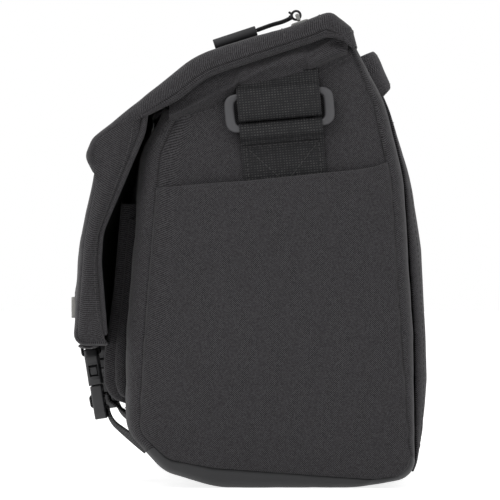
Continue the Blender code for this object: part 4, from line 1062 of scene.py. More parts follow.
def thin_cloth(name, grid, thick, look, inside):
    """Cloth that folds back on itself: a single face thickened evenly to its inner side."""
    rows, columns = grid.shape[:2]
    _, turned = facing(grid[: rows // 2], inside)
    number = np.arange(rows * columns).reshape(rows, columns)
    across, along = cloth_map_of(grid)
    mapping = np.stack([across.ravel(), along.ravel()], axis=1)
    piece = add_mesh(name, grid.reshape(-1, 3), quads(number, turned=turned), look, mapping)
    thickness = piece.modifiers.new("thickness", "SOLIDIFY")
    thickness.thickness = thick
    thickness.offset = -1
    return piece


# Depth of the lid's turned-down ends on top and at the roll, and the radius of their bend.
LIP_DEPTH, ROLL_LIP, LIP_ROUND = 13 * MM, 4 * MM, 7 * MM


def lip_depth(path):
    """How far the lid's end turns down at each point of its path."""
    from_roll = ramp(path[:, 0], -101 * MM, 34 * MM)
    from_hinge = ramp(lengths(path), 0, 24 * MM)
    return ROLL_LIP + (LIP_DEPTH - ROLL_LIP) * np.minimum(from_roll, from_hinge)


def lid_grid():
    """The lid's outer face: over the top, round the roll, and down the lip at each end."""
    path = resampled(LID, 2.2 * MM)
    inward = unit(evened(leftward(path), 6))
    depth = lip_depth(path)
    round_in = np.minimum(LIP_ROUND, depth * 0.75)
    turn = np.linspace(0, math.pi / 2, 8)
    x_edge = FLAP_HALF - LIP_ROUND * (1 - np.sin(turn))
    middle = np.linspace(-(FLAP_HALF - LIP_ROUND), FLAP_HALF - LIP_ROUND, 110)[1:-1]
    lip_steps = np.linspace(0, 1, 15)[1:]
    from_edge = (1 - lip_steps) * 9
    groove = swell(from_edge, 3.4, 0.7) * 1.1 * MM + swell(from_edge, 0.6, 0.5) * 0.5 * MM
    rows = []
    for point, inside, full, bend in zip(path, inward, depth, round_in):
        drop = np.concatenate([bend * (1 - np.cos(turn)), bend + (full - bend) * lip_steps])
        x = np.concatenate([x_edge, FLAP_HALF - groove * ramp(full, 7 * MM, 5 * MM)])
        all_x = np.concatenate([-x[::-1], middle, x])
        all_drop = np.concatenate([drop[::-1], np.zeros(len(middle)), drop])
        yz = point + inside * all_drop[:, None]
        rows.append(np.column_stack([all_x, yz]))
    return np.array(rows)


# The zip's line on the lid, and the length and width of the slot it shows in.
ZIP_Y, ZIP_LENGTH, ZIP_SLOT = 14.5 * MM, 352 * MM, 12 * MM


def lid_frame(y):
    """(height, slope) of the lid's outer face at Y on its top."""
    top = LID[LID[:, 1] > 240 * MM]
    order = np.argsort(top[:, 0])
    z = np.interp(y, top[order, 0], top[order, 1])
    near = np.interp(y + 2 * MM, top[order, 0], top[order, 1])
    return z, math.atan2(near - z, 2 * MM)


ZIP_Z, ZIP_SLOPE = lid_frame(ZIP_Y)
ZIP_FRAME = Matrix.Translation((0, ZIP_Y, ZIP_Z)) @ Matrix.Rotation(ZIP_SLOPE, 4, "X")


def moved(matrix, points):
    """Points carried by a matrix."""
    table = np.array(matrix)
    return np.asarray(points, float) @ table[:3, :3].T + table[:3, 3]


def make_lid():
    """The lid cloth with the zip let into it, topstitched beside the zip and piped along its lips."""
    plain = lid_grid()
    across, along = cloth_map_of(plain)
    x, y = plain[..., 0], plain[..., 1]
    from_end = FLAP_HALF - np.abs(x)
    free = ramp(from_end, 5 * MM, 40 * MM)
    top = ramp(plain[..., 2], 205 * MM, 20 * MM)
    beside_zip = np.abs(x) < ZIP_LENGTH / 2
    near_zip = np.where(beside_zip, swell(np.abs(y - ZIP_Y), 0, 12 * MM), 0)
    relief = ripple(across, along, 75 * MM, 60 * MM, 2.6) * 1.6 * MM * free * top
    relief -= crease(across, along, 110 * MM, 34 * MM, 4.9) * 0.5 * MM * free * top
    valley = swell(y, 8 * MM, 17 * MM) * 1.4 * MM * ramp(from_end, 0, 6 * MM)
    relief = relief * (1 - near_zip) - valley * top
    relief += puckers(along, from_end, 0.6 * MM, 10 * MM, 1.9) * top * np.clip(from_end / (5 * MM), 0.1, 1)
    grid = pushed(plain, relief)
    in_slot = beside_zip & (np.abs(y - ZIP_Y) < ZIP_SLOT / 2 * math.cos(ZIP_SLOPE)) & (top > 0.5)
    piece = cloth("lid_cloth", grid, 2.6 * MM, "shell")
    open_slot(piece, in_slot.ravel(), in_slot.size)
    dressed(piece, "flap", "flap_lid", slot="shell_fabric")
    lines = []
    spine = grid[:, grid.shape[1] // 2]
    for offset in (-11 * MM, 11 * MM):
        under = spine[:, 2] < 240 * MM
        row = int(np.argmin(np.abs(spine[:, 1] - (ZIP_Y + offset)) + under))
        lines.append(grid_line(grid, row=row, start=13, stop=-13))
    lines.append(grid_line(grid, row=4, start=12, stop=-12))
    stitching("lid_stitches", lines, "flap")
    for side, end in ENDS:
        column = plain[:, -1 if side > 0 else 0]
        stop = int(np.argmin(np.abs(column[:, 1] + 84 * MM) + np.abs(column[:, 2] - 228 * MM)))
        edge = evened(resampled(column[2:stop], 2 * MM), 3)
        edge[:, 0] -= side * 0.9 * MM
        edge[:, 2] -= 0.5 * MM
        dressed(tube(f"lid_piping_{end}", edge, 1.15 * MM, "binding"), "flap")


def make_hinge_seam():
    """The rolled seam that joins the lid to the back panel."""
    line = np.linspace((-186, 47.3, 265.4), (186, 47.3, 265.4), 80) * MM
    dressed(tube("hinge_seam", line, 1.8 * MM, "shell", around=16), "bag")


def open_slot(piece, inside, count):
    """Removes a slot's faces on both sides of a cloth and closes its edges."""
    work = bmesh.new()
    work.from_mesh(piece.data)
    work.verts.ensure_lookup_table()
    marked = {v.index for v in work.verts if v.index < 2 * count and inside[v.index % count]}
    gone = [f for f in work.faces if all(v.index in marked for v in f.verts)]
    bmesh.ops.delete(work, geom=gone, context="FACES")
    border = [e for e in work.edges if e.is_boundary]
    bmesh.ops.bridge_loops(work, edges=border)
    loose = [v for v in work.verts if not v.link_faces]
    bmesh.ops.delete(work, geom=loose, context="VERTS")
    work.to_mesh(piece.data)
    work.free()


def make_flap_pocket():
    """The stuffed pocket below the roll: its front, side walls, backing panel and bound edges."""
    full = resampled(FLAP_FRONT, 2.4 * MM)
    low = np.clip((106 * MM - full[:, 1]) / (20 * MM), 0, 1)
    upright = ramp(full[:, 1], 87 * MM, 10 * MM)
    seam = full + np.column_stack([upright * 3 * MM, low * 2 * MM])
    grid = wall_grid(seam, full, FLAP_HALF - 1 * MM, 9 * MM, coarse=3.4 * MM)
    across, along = cloth_map_of(grid)
    from_end = FLAP_HALF - np.abs(grid[..., 0])
    free = ramp(from_end, 0, 35 * MM) * np.clip((grid[..., 2] - 92 * MM) / (20 * MM), 0.15, 1)
    relief = ripple(across, along, 65 * MM, 48 * MM, 5.2) * 1.7 * MM * free
    relief += crease(across, along, 100 * MM, 38 * MM, 1.4) * 1.2 * MM * free
    relief += puckers(along, from_end, 0.6 * MM, 9 * MM, 6.6)
    relief += puckers(across, 188.5 * MM - grid[..., 2], 0.7 * MM, 13 * MM, 8.3, 9 * MM)
    grid = pushed(grid, relief)
    dressed(cloth("flap_front_cloth", grid, 1.8 * MM, "shell"), "flap", "flap_front", slot="shell_fabric")
    roll = np.linspace((-191, -113, 85.6), (191, -113, 85.6), 90) * MM
    dressed(tube("flap_bottom_seam", roll, 6 * MM, "shell", around=20, flatten=0.3), "flap")
    row = int(np.argmin(np.abs(grid[:, grid.shape[1] // 2, 2] - 94 * MM)))
    stitching("flap_front_stitches", [grid_line(grid, row=row, start=9, stop=-9)], "flap")

    backing = resampled(BACKING, 3 * MM)
    back = across_bag(np.linspace(-194 * MM, 194 * MM, 100), backing)
    across, along = cloth_map_of(back)
    back[..., 1] += ripple(across, along, 70 * MM, 45 * MM, 3.1) * 0.4 * MM - 0.9 * MM
    back[..., 1] += bulge_at(back[..., 0], -60) * profile(back[..., 2], BACKING_SAG)
    piece = cloth("flap_backing_cloth", back, 1.4 * MM, "lining", np.array((0, -0.3, 0.14)))
    dressed(piece, "flap", "flap_backing", slot="lining_fabric")

    lid = LID[(LID[:, 0] < -60 * MM) & (LID[:, 1] > 190.5 * MM)]
    outer_edge = np.concatenate([sideways(resampled(lid, 2 * MM), 3 * MM), sideways(full, 2.5 * MM)[2:]])
    outer_edge = resampled(outer_edge[outer_edge[:, 0] < -76 * MM], count=120)
    inner_edge = resampled(np.concatenate([[(-77.5 * MM, 229.5 * MM)], backing]), count=120)
    for side, end in ENDS:
        w = np.linspace(0, 1, 16)
        flat = outer_edge[:, None] + (inner_edge - outer_edge)[:, None] * w[None, :, None]
        x_out, x_in = 197.2 * MM, 194.2 * MM
        belly = np.sin(math.pi * w)[None, :]
        puff = np.sin(math.pi * w)[None, :] ** 0.8 * 2.4 * MM
        depth = np.linalg.norm(inner_edge - outer_edge, axis=1)[:, None]
        x = x_out + (x_in - x_out) * w[None, :] ** 1.6 + puff * np.clip(depth / (14 * MM), 0.2, 1.3)
        wall = stood(flat, side * x)
        across, along = cloth_map_of(wall)
        wall[..., 0] += side * ripple(across, along, 16 * MM, 20 * MM, 9.9 + side) * 0.7 * MM * belly
        wall[..., 0] += side * puckers(along, w[None, :] * 16 * MM, 0.4 * MM, 8 * MM, 5.1 + side, 4 * MM)
        piece = cloth(f"flap_side_cloth_{end}", wall, 1.2 * MM, "shell", np.array((0, -0.1, 0.15)))
        dressed(piece, "flap", f"flap_side_{end}", slot="shell_fabric")
        binding = stood(inner_edge[None], side * 193.9 * MM)[0]
        binding = binding[binding[:, 2] > 92 * MM]
        radius = (1.9 - 0.5 * np.linspace(0, 1, len(binding))) * MM
        binding[:, 1] += radius * 0.55
        binding[:, 0] += side * 0.7 * MM
        dressed(tube(f"flap_binding_{end}", binding, radius, "shell", around=14), "flap")
        inset = wall[4:-4, -4]
        outward = np.tile(np.array((side, 0, 0), float), (len(inset), 1))
        stitching(f"flap_side_stitches_{end}", [(inset, outward)], "flap")


def make_pockets():
    """The organiser pocket under the flap and the slip pocket on the back."""
    _, full = paired(SEAM, FULL, 3 * MM)
    front = full[(full[:, 0] < -60 * MM) & (full[:, 1] > 52 * MM) & (full[:, 1] < 172 * MM)][::-1]
    front = resampled(front, 1.6 * MM)
    lines = []
    # Each layer's half width, share of the full depth, and how far its foot and its mouth are lowered, in mm.
    layers = (("organiser", 160, 1, 0, 0), ("organiser_gusset", 164, 0.48, 3, 9))
    for name, half, share, foot, mouth in layers:
        x, round_in = crown_columns(half * MM, 4 * MM, 0.8 * MM, 3 * MM)
        grid = np.zeros((len(front), len(x), 3))
        lift = bulge_at(x, 60) * 4 * MM - mouth * MM
        grid[..., 0] = x[None, :]
        rise = np.linspace(0, 1, len(front))[:, None]
        scallop = np.abs(np.sin(x / (9 * MM))) * 2.2 * MM - foot * MM
        grid[..., 2] = front[:, 1][:, None] + lift[None, :] * rise**3 - scallop[None, :] * (1 - rise) ** 12
        depth = profile(front[:, 1], ORGANISER_DEPTH)[:, None] * share * round_in[None, :]
        grid[..., 1] = front[:, 0][:, None] - 0.9 * MM - depth
        across, along = cloth_map_of(grid)
        grid[..., 1] += ripple(across, along, 34 * MM, 50 * MM, 2.9) * 0.4 * MM
        belly = bulge_at(x, 60)[None, :] * 3 * MM * np.clip(rise * 3, 0, 1)
        grid[..., 1] -= belly * round_in[None, :] * share
        piece = cloth(f"{name}_cloth", grid, 1.0 * MM, "shell")
        if share == 1:
            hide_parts("front_pocket", "front_pocket_gusset_right", "front_pocket_gusset_left")
            lines = [grid_line(grid, row=-3, start=5, stop=-5)]
            columns = [int(part * len(x)) for part in (0.3, 0.5, 0.72)]
            lines += [grid_line(grid, column=column, start=6, stop=-2) for column in columns]
        dressed(piece, "bag", slot="shell_fabric")
    stitching("organiser_stitches", lines, "bag")

    back = full[(full[:, 0] > 60 * MM) & (full[:, 1] > 9 * MM) & (full[:, 1] < 238 * MM)]
    back = resampled(back, 2.6 * MM)
    half = 165 * MM
    x, share = crown_columns(half, 20 * MM, 1.8 * MM, 4 * MM)
    room = 1.65 * MM + profile(back[:, 1], BACK_POCKET_ROOM)[:, None] * share[None, :]
    grid = across_bag(x, back[:, None] - leftward(back)[:, None] * room[..., None])
    across, along = cloth_map_of(grid)
    from_end = half - np.abs(grid[..., 0])
    free = ramp(from_end, 0, 30 * MM)
    relief = ripple(across, along, 80 * MM, 60 * MM, 7.2) * 0.9 * MM * free
    relief -= crease(across, along, 120 * MM, 40 * MM, 6.4) * 0.6 * MM * free
    relief += puckers(along, from_end, 0.5 * MM, 9 * MM, 1.2)
    grid = pushed(grid, relief)
    dressed(cloth("back_pocket_cloth", grid, 1.6 * MM, "shell"), "bag", "back_pocket", slot="shell_fabric")
    lines = [grid_line(grid, row=-8, start=3, stop=-3)]
    lines += [grid_line(grid, column=c, start=5, stop=-22) for c in (5, grid.shape[1] - 6)]
    stitching("back_pocket_stitches", lines, "bag")


# ---------------------------------------------------------------- strap, rings and anchors
RING_X, RING_Z = 194.7 * MM, 217.06 * MM
RING_TILT = math.radians(5)
BAR_TURN = 3.55 * MM
BAR_SPACING = 21 * MM
RING_WIDE, RING_HIGH = 66 * MM, 25 * MM
# The strap runs down inside the end panel at STRAP_WALL_X and lies folded on the floor at STRAP_FLOOR.
STRAP_WALL_X = 182.65 * MM
STRAP_FLOOR, FOLD_RADIUS = 9 * MM, 1.9 * MM


def ring_frame(side):
    """Local frame at the ring's lower bar: local X out of the bag, local Z up along the strap."""
    tilt = Matrix.Rotation(RING_TILT, 4, "X")
    return Matrix.Translation((side * RING_X, RING_Y, RING_Z)) @ tilt @ Matrix.Diagonal((side, 1, 1, 1))


def arc(centre, radius, start, sweep, steps=16):
    """Points on an arc in a strap's own plane."""
    angle = start + np.linspace(0, sweep, steps)
    return np.stack([centre[0] + radius * np.cos(angle), centre[1] + radius * np.sin(angle)], axis=1)


def in_frame(flat, matrix):
    """A strap's flat (out, up) path in the frame's XZ plane."""
    return moved(matrix, np.stack([flat[:, 0], flat[:, 0] * 0, flat[:, 1]], axis=1))


def across_way(matrix):
    """The direction of a frame's Y axis."""
    return np.array(matrix.to_3x3() @ Vector((0, 1, 0)))


def make_anchors():
    """The webbing sewn to each end panel and looped over the ring's lower bar, with its box stitches."""
    s = sizes()
    for side, end in ENDS:
        place = ring_frame(side)
        foot = np.array([(-BAR_TURN, -60 * MM), (-BAR_TURN, 0)])
        loop = arc((0, 0), BAR_TURN, math.pi, -math.pi)
        tail = fillet_path(mm((3.55, -1, 0), (3.3, -4.2, 2.5), (-1.4, -6.3, 1.5), (-2.0, -8.5, 0)), 5)
        path = np.concatenate([foot, loop[1:], tail[1:]])
        piece = shoulder_webbing(f"anchor_strap_{end}", in_frame(path, place), across_way(place))
        dressed(piece, "bag", f"anchor_webbing_{end}", slot="strap_webbing")
        face = -BAR_TURN + s.webbing_thick / 2 + 0.1 * MM
        low, high, half = -57 * MM, -10 * MM, 22 * MM
        corners = [(-half, low), (half, low), (half, high), (-half, high)]
        lines = []
        outward = np.array(place.to_3x3() @ Vector((1, 0, 0)))
        for a, b in ((0, 1), (1, 2), (2, 3), (3, 0), (0, 2), (1, 3)):
            flat = resampled(np.array([corners[a], corners[b]]), 1 * MM)
            line = moved(place, np.column_stack([np.full(len(flat), face), flat]))
            lines.append((line, np.tile(outward, (len(line), 1))))
        stitching(f"anchor_stitches_{end}", lines, "bag", length=2.2 * MM, gap=0.9 * MM)


def make_rings():
    """The moulded strap rings: rounded bars, wider at the ends."""
    for side, end in ENDS:
        place = ring_frame(side) @ Matrix.Translation((0, 0, BAR_SPACING / 2))
        count, around = 160, 20
        t = whole_turn(count)
        y = (RING_WIDE / 2 - 3.1 * MM) * squared(np.cos(t), 0.36)
        z = (RING_HIGH / 2 - 2 * MM) * squared(np.sin(t), 0.36)
        centre = resampled(np.column_stack([np.append(y, y[0]), np.append(z, z[0])]), count=count + 1)[:-1]
        way = unit(np.roll(centre, -1, axis=0) - np.roll(centre, 1, axis=0))
        out = np.stack([way[:, 1], -way[:, 0]], axis=1)
        half_thick = 2.0 * MM
        half_wide = half_thick + ramp(np.abs(centre[:, 0]), 25 * MM, 4.5 * MM) * 1.1 * MM
        across, deep = (squared(wave(whole_turn(around)), 0.62) for wave in (np.cos, np.sin))
        yz = centre[:, None] + out[:, None] * (across[None, :, None] * half_wide[:, None, None])
        x = np.broadcast_to((deep * half_thick)[None, :], yz.shape[:2])
        points = moved(place, np.concatenate([x[..., None], yz], axis=2).reshape(-1, 3))
        number = np.arange(count * around).reshape(count, around)
        number = np.concatenate([number, number[:1]])
        piece = add_mesh(f"ring_body_{end}", points, quads(number, True, turned=side < 0), "ring")
        dressed(piece, f"ring_{end}", f"strap_ring_{end}", slot="ring_plastic")


def make_straps():
    """The shoulder strap: folded round each ring, in over the end hem and stowed on the bag's floor."""
    wall_x = STRAP_WALL_X - RING_X
    top = 40.4 * MM
    for side, end in ENDS:
        place = ring_frame(side)
        crest_radius = (-BAR_TURN - wall_x) / 2
        sewn_end = mm((-2.05, 33), (-2.05, 28.5), (-1.6, 26))
        turn = np.radians(np.linspace(108, -180, 40))
        wrap = np.column_stack([0.95 + 4.5 * np.cos(turn), 15.2 + 9.6 * np.sin(turn)]) * MM
        crest = arc((-BAR_TURN - crest_radius, top), crest_radius, 0, math.pi, 14)
        ply = STRAP_FLOOR if side > 0 else STRAP_FLOOR + 4 * FOLD_RADIUS
        low = -(RING_Z - ply) / math.cos(RING_TILT)
        foot = fillet_path([(wall_x, top, 0), (wall_x, low, 10 * MM), (wall_x - 13 * MM, low, 0)], 6)
        path = np.concatenate([sewn_end, wrap, crest, foot[1:]])
        piece = shoulder_webbing(f"strap_{end}", in_frame(path, place), across_way(place), 1.2 * MM)
        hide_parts(f"strap_end_{end}", f"shoulder_strap_{end}")
        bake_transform(piece)
    folds = fold_path()
    foot_y = RING_Y + (RING_Z - STRAP_FLOOR) * math.tan(RING_TILT)
    line = np.column_stack([folds[:, 0], np.full(len(folds), foot_y), folds[:, 1]])
    piece = shoulder_webbing("strap_folds", line, (0, 1, 0), 4 * MM)
    dressed(piece, "bag", "shoulder_strap_folds", slot="strap_webbing")
    for node in ("strap_adjuster", "strap_adjuster_bar"):
        smoothed(node, "plastic", 0.4 * MM)


def fold_path():
    """The stowed strap on the floor: three plies joined by two turned folds."""
    reach, half_fold, radius = 168.65 * MM, 70 * MM, FOLD_RADIUS
    first = arc((-half_fold, STRAP_FLOOR + radius), radius, -math.pi / 2, -math.pi, 10)
    second = arc((half_fold, STRAP_FLOOR + 3 * radius), radius, -math.pi / 2, math.pi, 10)
    return np.concatenate([[(reach, STRAP_FLOOR)], first, second, [(-reach, STRAP_FLOOR + 4 * radius)]])


# ---------------------------------------------------------------- buckles
BUCKLE_TILT = math.radians(9)
BUCKLE_X, BUCKLE_Y, BUCKLE_Z = 110 * MM, -110.2 * MM, 60.5 * MM
# Height of the flap's bottom edge, where the socket's webbing tab goes in.
FLAP_FOOT = 86 * MM


def buckle_frame(side):
    """Local frame at the middle of a buckle, its Z up along the webbing."""
    tilt = Matrix.Rotation(BUCKLE_TILT, 4, "X")
    return Matrix.Translation((side * BUCKLE_X, BUCKLE_Y, BUCKLE_Z)) @ tilt


def make_buckles():
    """Side-release buckles with their webbing tabs and the straps woven through their ladder locks."""
    thick = 1.4 * MM
    for side, end in ENDS:
        place = buckle_frame(side)
        for node in (f"buckle_socket_{end}", f"buckle_plug_{end}"):
            smoothed(node, "plastic", 0.35 * MM)
        for where in ("outer", "inner"):
            smoothed(f"plug_prong_{end}_{where}", "plastic", 0.25 * MM)
        face, slot = 5.2 * MM, 18.8 * MM
        top = (FLAP_FOOT - 0.4 * MM - BUCKLE_Z) / math.cos(BUCKLE_TILT) - face * math.tan(BUCKLE_TILT)
        bend = 1.4 * MM
        tab = fillet_path([(-face, top, 0), (-face, slot, bend), (face, slot, bend), (face, top, 0)], 8)
        piece = flap_webbing(f"socket_tab_{end}", on_side(tab, place), 1.2 * MM)
        dressed(piece, "flap", f"flap_tab_{end}", slot="strap_webbing")
        seam = BASE_SEAM + np.array((-0.74, -0.67)) * 1.1 * MM
        foot = place.inverted() @ Vector((side * BUCKLE_X, seam[0], seam[1]))
        corners = [(foot.y, foot.z, 0)] + mm(
            (4.8, -23, 16), (4.8, -13.4, 1.5), (-4.8, -13.4, 1.5), (-4.8, -6.2, 1.5),
            (6.6, -6.2, 1.5), (6.6, -10.6, 3), (15.6, -20, 0),
        )
        line = on_side(fillet_path(corners, 8), place)
        piece = flap_webbing(f"front_strap_web_{end}", line, thick, twist=math.radians(13), loose=0.7)
        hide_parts(f"front_strap_{end}")
        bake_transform(piece)
        hem = on_side(np.array(mm((14.6, -17.5))), place)[0]
        row = hem + np.linspace((-11, 0, 0), (11, 0, 0), 12) * MM
        up = np.tile(np.array(place.to_3x3() @ Vector((0, 0.75, 0.66))), (len(row), 1))
        stitching(f"strap_tail_stitches_{end}", [(row + up * 0.75 * MM, up)], f"strap_plug_{end}")


def on_side(flat, matrix):
    """A flat (y, z) path in a frame's YZ plane."""
    return moved(matrix, np.stack([flat[:, 0] * 0, flat[:, 0], flat[:, 1]], axis=1))


# ---------------------------------------------------------------- zip
# Heights of the tape and the coil from the lid's face, and where the slider stands at the right end.
TAPE_Z, COIL_Z = -4.2 * MM, -2.2 * MM
SLIDER_X = 162 * MM


def make_zip():
    """The lid's zip: tape under the slot, wound coil, slider with its bail, and the corded pull."""
    line = moved(ZIP_FRAME, np.linspace((-182 * MM, 0, TAPE_Z), (182 * MM, 0, TAPE_Z), 150))
    way = across_way(ZIP_FRAME)
    tape = ribbon("zip_tape", line, way, 24 * MM, 0.8 * MM, "narrow", 20, 4 * MM, 0.06 * MM)
    dressed(tape, "flap", "lid_zip_tape", slot="strap_webbing")
    pitch, per_turn, length = 1.6 * MM, 10, 348 * MM
    angle = np.arange(int(length / pitch) * per_turn) * 2 * math.pi / per_turn
    along = -length / 2 + angle / (2 * math.pi) * pitch
    coil = np.column_stack([along, 2.45 * MM * np.cos(angle), COIL_Z + 0.85 * MM * np.sin(angle)])
    wire = tube("zip_coil", moved(ZIP_FRAME, coil), 0.34 * MM, "cord", around=6)
    dressed(wire, "flap", "lid_zip_coil", slot="strap_webbing")
    smoothed("zip_slider", "metal", 0.35 * MM)
    smoothed("zip_slider_bail", "metal", 0.25 * MM)
    place = ZIP_FRAME @ Matrix.Translation((SLIDER_X, 0, 0))
    turn = np.linspace(0, 4 * math.pi, 52) + math.pi
    ring = np.column_stack([0.7 * np.cos(turn / 4), 2.65 * np.cos(turn) - 0.6, 5.0 + 2.65 * np.sin(turn)])
    strand = np.array([(0.55, -3.2, 4.7), (0.65, -9, 3.9), (0.6, -17, 4.1), (0.55, -27, 3.8)])
    above = np.array((0, 0, 0.55))
    tail = np.array([(0.3, -3.5, 5.4), (0.6, -3.2, 6.8), (0.4, -4.3, 8.3)])
    for name, route in (
        ("pull_loop", ring),
        ("pull_strand_near", smooth_route(strand + above, 6)),
        ("pull_strand_far", smooth_route(strand * (-1, 1, 1) - above, 6)),
        ("pull_tail", smooth_route(tail, 5)),
    ):
        cord = dressed(tube(name, moved(place, route * MM), 0.72 * MM, "cord"), "zip_pull")
        if name == "pull_loop":
            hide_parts("pull_cord")
    turn = np.linspace(0, 6 * math.pi, 60)
    wound = np.column_stack([1.15 * np.cos(turn), np.linspace(-4.8, -2.9, 60), 4.7 + 1.05 * np.sin(turn)])
    dressed(tube("pull_knot", moved(place, wound * MM), 0.5 * MM, "cord", around=10), "zip_pull")
    outline = mm(
        (1.35, 0.4), (1.0, 0.0), (2.6, 0.0), (3.0, 0.4),
        (3.0, 26.6), (2.6, 27.0), (1.35, 27.0), (1.35, 18.0),
    )
    lying = Matrix.Translation((0, -26.4 * MM, 3.8 * MM)) @ Matrix.Rotation(math.pi / 2, 4, "X")
    dressed(turned_tube("pull_grip", outline, place @ lying), "zip_pull", "pull_tube", slot="pull_rubber")


def smooth_route(route, pieces):
    """A smooth curve through a route's own points."""
    padded = np.concatenate([[2 * route[0] - route[1]], route, [2 * route[-1] - route[-2]]])
    out = []
    for p0, p1, p2, p3 in zip(padded, padded[1:], padded[2:], padded[3:]):
        square, cube = 2 * p0 - 5 * p1 + 4 * p2 - p3, 3 * p1 - p0 - 3 * p2 + p3
        for t in np.linspace(0, 1, pieces, endpoint=False):
            out.append((2 * p1 + (p2 - p0) * t + square * t**2 + cube * t**3) / 2)
    return np.array(out + [route[-1]])


def turned_tube(name, outline, matrix, around=40):
    """A turned hollow piece from the (radius, height) outline of its wall."""
    outline = np.array(outline + [(outline[-1][0], 4 * MM)])
    radius, height = outline[:, :1], outline[:, 1:]
    turn = whole_turn(around)[None]
    points = np.stack([radius * np.cos(turn), radius * np.sin(turn), height + turn * 0], axis=2)
    number = np.arange(points.shape[0] * around).reshape(-1, around)
    number = np.concatenate([number, number[:1]])
    piece = add_mesh(name, moved(matrix, points.reshape(-1, 3)), quads(number, True), "rubber")
    piece.data.set_sharp_from_angle(angle=math.radians(50))
    return piece


# ---------------------------------------------------------------- handle, label and inner pieces
HANDLE_PLACE = Matrix.Translation((0, 51.7 * MM, 262.8 * MM)) @ Matrix.Rotation(math.radians(24), 4, "X")


def make_handle():
    """The padded grab handle, sewn into the flap seam at both ends and topstitched along its edges."""
    half, reach, width, thick = 90 * MM, 9.4 * MM, 26 * MM, 4.2 * MM
    sewn, bend = -1 * MM, 9 * MM
    knuckle = half - 2 * MM
    corners = [(-half, sewn, 0), (-knuckle, reach, bend), (knuckle, reach, bend), (half, sewn, 0)]
    path = resampled(fillet_path(corners, 10), 2 * MM)
    out = leftward(path)
    out *= np.sign(out[len(out) // 2, 1])
    turn = whole_turn(40)
    up = squared(np.sin(turn), 0.55) * width / 2
    deep = squared(np.cos(turn), 0.8) * thick / 2
    flat = path[:, None] + out[:, None] * deep[None, :, None]
    z = np.broadcast_to(up[None, :] - width / 2, flat.shape[:2])
    grid = np.concatenate([flat, z[..., None]], axis=2)
    far = lengths(path)[:, None] + turn[None] * 0
    gathered = ripple(far, z, 11 * MM, 9 * MM, 4.2) * 0.35 * MM
    grid[..., :2] += out[:, None] * gathered[..., None]
    girth = np.cumsum(np.abs(np.diff(np.append(up, up[0]))))
    points = moved(HANDLE_PLACE, grid.reshape(-1, 3)).reshape(grid.shape)
    piece = add_swept("handle_band", points, girth[None], far, "handle")
    dressed(piece, "handle", "grab_handle", slot="shell_fabric")
    outward = np.column_stack([out, out[:, 0] * 0]) @ np.array(HANDLE_PLACE.to_3x3()).T
    lines = []
    for level in (3.2 * MM, width - 3.2 * MM):
        line = np.column_stack([path + out * (thick / 2 - 0.15 * MM), np.full(len(path), -level)])
        lines.append((moved(HANDLE_PLACE, line), outward))
    stitching("handle_stitches", lines, "handle")


def make_label():
    """The bare woven tab on the flap's front, with a strip of black webbing below and beside it as a painted
    shadow of the tab.
    """
    x0, z0, front = 150 * MM, 108.5 * MM, -119.8 * MM
    for name, look, slot, nodes, half, high, lift, thick, drop in (
        ("label_tab", "label", "label_tape", ("woven_label",), 10, 12.6, 3.9, 0.6, 0),
        # The black strip is a painted shadow: dark webbing put where the tab casts its shade.
        ("label_shadow_strip", "narrow", "strap_webbing", (), 11.5, 9.6, 1.1, 0.8, -2.6),
    ):
        corners = mm((-half, 1.2, 0), (-half + 1, -lift, 2.2), (half - 1, -lift, 2.2), (half, 1.2, 0))
        flat = fillet_path(corners, 8)
        line = np.column_stack([flat[:, 0] + x0, flat[:, 1] + front, np.full(len(flat), z0 + drop * MM)])
        piece = ribbon(name, line, (0, 0, 1), high * MM, thick * MM, look, 0, 0.8 * MM)
        dressed(piece, "flap", *nodes, slot=slot)


def make_inside():
    """The padded notebook divider and the stiffener board."""
    full = resampled(FULL[BASE_BACK:], 4 * MM)
    inside = sideways(full, 3 * MM)
    path = inside[(inside[:, 1] > 20 * MM) & (inside[:, 1] < 226 * MM)] - np.array((20 * MM, 0))
    path = np.concatenate([[(path[0, 0] - 1.5 * MM, 13.5 * MM)], path])
    grid = across_bag(np.linspace(-168 * MM, 168 * MM, 90), path)
    across, _ = cloth_map_of(grid)
    quilt = np.abs(np.sin(across / (18 * MM))) ** 0.5 * 0.8 * MM
    grid[..., 1] += 1.2 * MM + quilt
    piece = cloth("divider_pad", grid, 4 * MM, "lining", np.array((0, 0.0, 0.13)))
    dressed(piece, "bag", "laptop_divider", slot="lining_fabric")
    smoothed("base_board", "board", 0.3 * MM)


def make_details():
    """Reddish bartacks at the lid's corners."""
    half = 1.1 * MM
    for side, end in ENDS:
        lines = []
        for y, z, slant in ((-62.5, 233.6, 20), (33.5, 262.5, 30), (28.5, 259.0, 30)):
            centre = np.array((side * 190.9, y, z)) * MM
            way = np.array((0, math.cos(math.radians(slant)), math.sin(math.radians(slant))))
            line = resampled(np.array([centre - way * half, centre + way * half]), 0.3 * MM)
            lines.append((line, np.tile(np.array((side, 0, 0), float), (len(line), 1))))
        stitching(f"bartacks_{end}", lines, "bag", "bartack", 1.0 * MM, 0.2 * MM, 0.3 * MM)


# ---------------------------------------------------------------- stage
def background_rays(board):
    """1 for the rays that show the background as white: camera, glossy and transmission rays."""
    rays = board.node("ShaderNodeLightPath").socket.node.outputs
    kinds = ("Camera", "Glossy", "Transmission")
    camera, glossy, through = (Wire(board, rays[f"Is {kind} Ray"]) for kind in kinds)
    return camera.math("MAXIMUM", glossy).math("MAXIMUM", through)


AMBIENT = 0.42
FLOOR_GLOW = (0.8, 0.8, 0.8)
FLOOR_HALF = 9.0
# The camera looks along -X at the bag's right end; SEEN_WIDTH is the picture's width there.
CAMERA_DISTANCE, SEEN_WIDTH = 3.2, 0.3
NEAR_END, VIEW_Y, VIEW_Z = 0.195, -15.6 * MM, 143.4 * MM
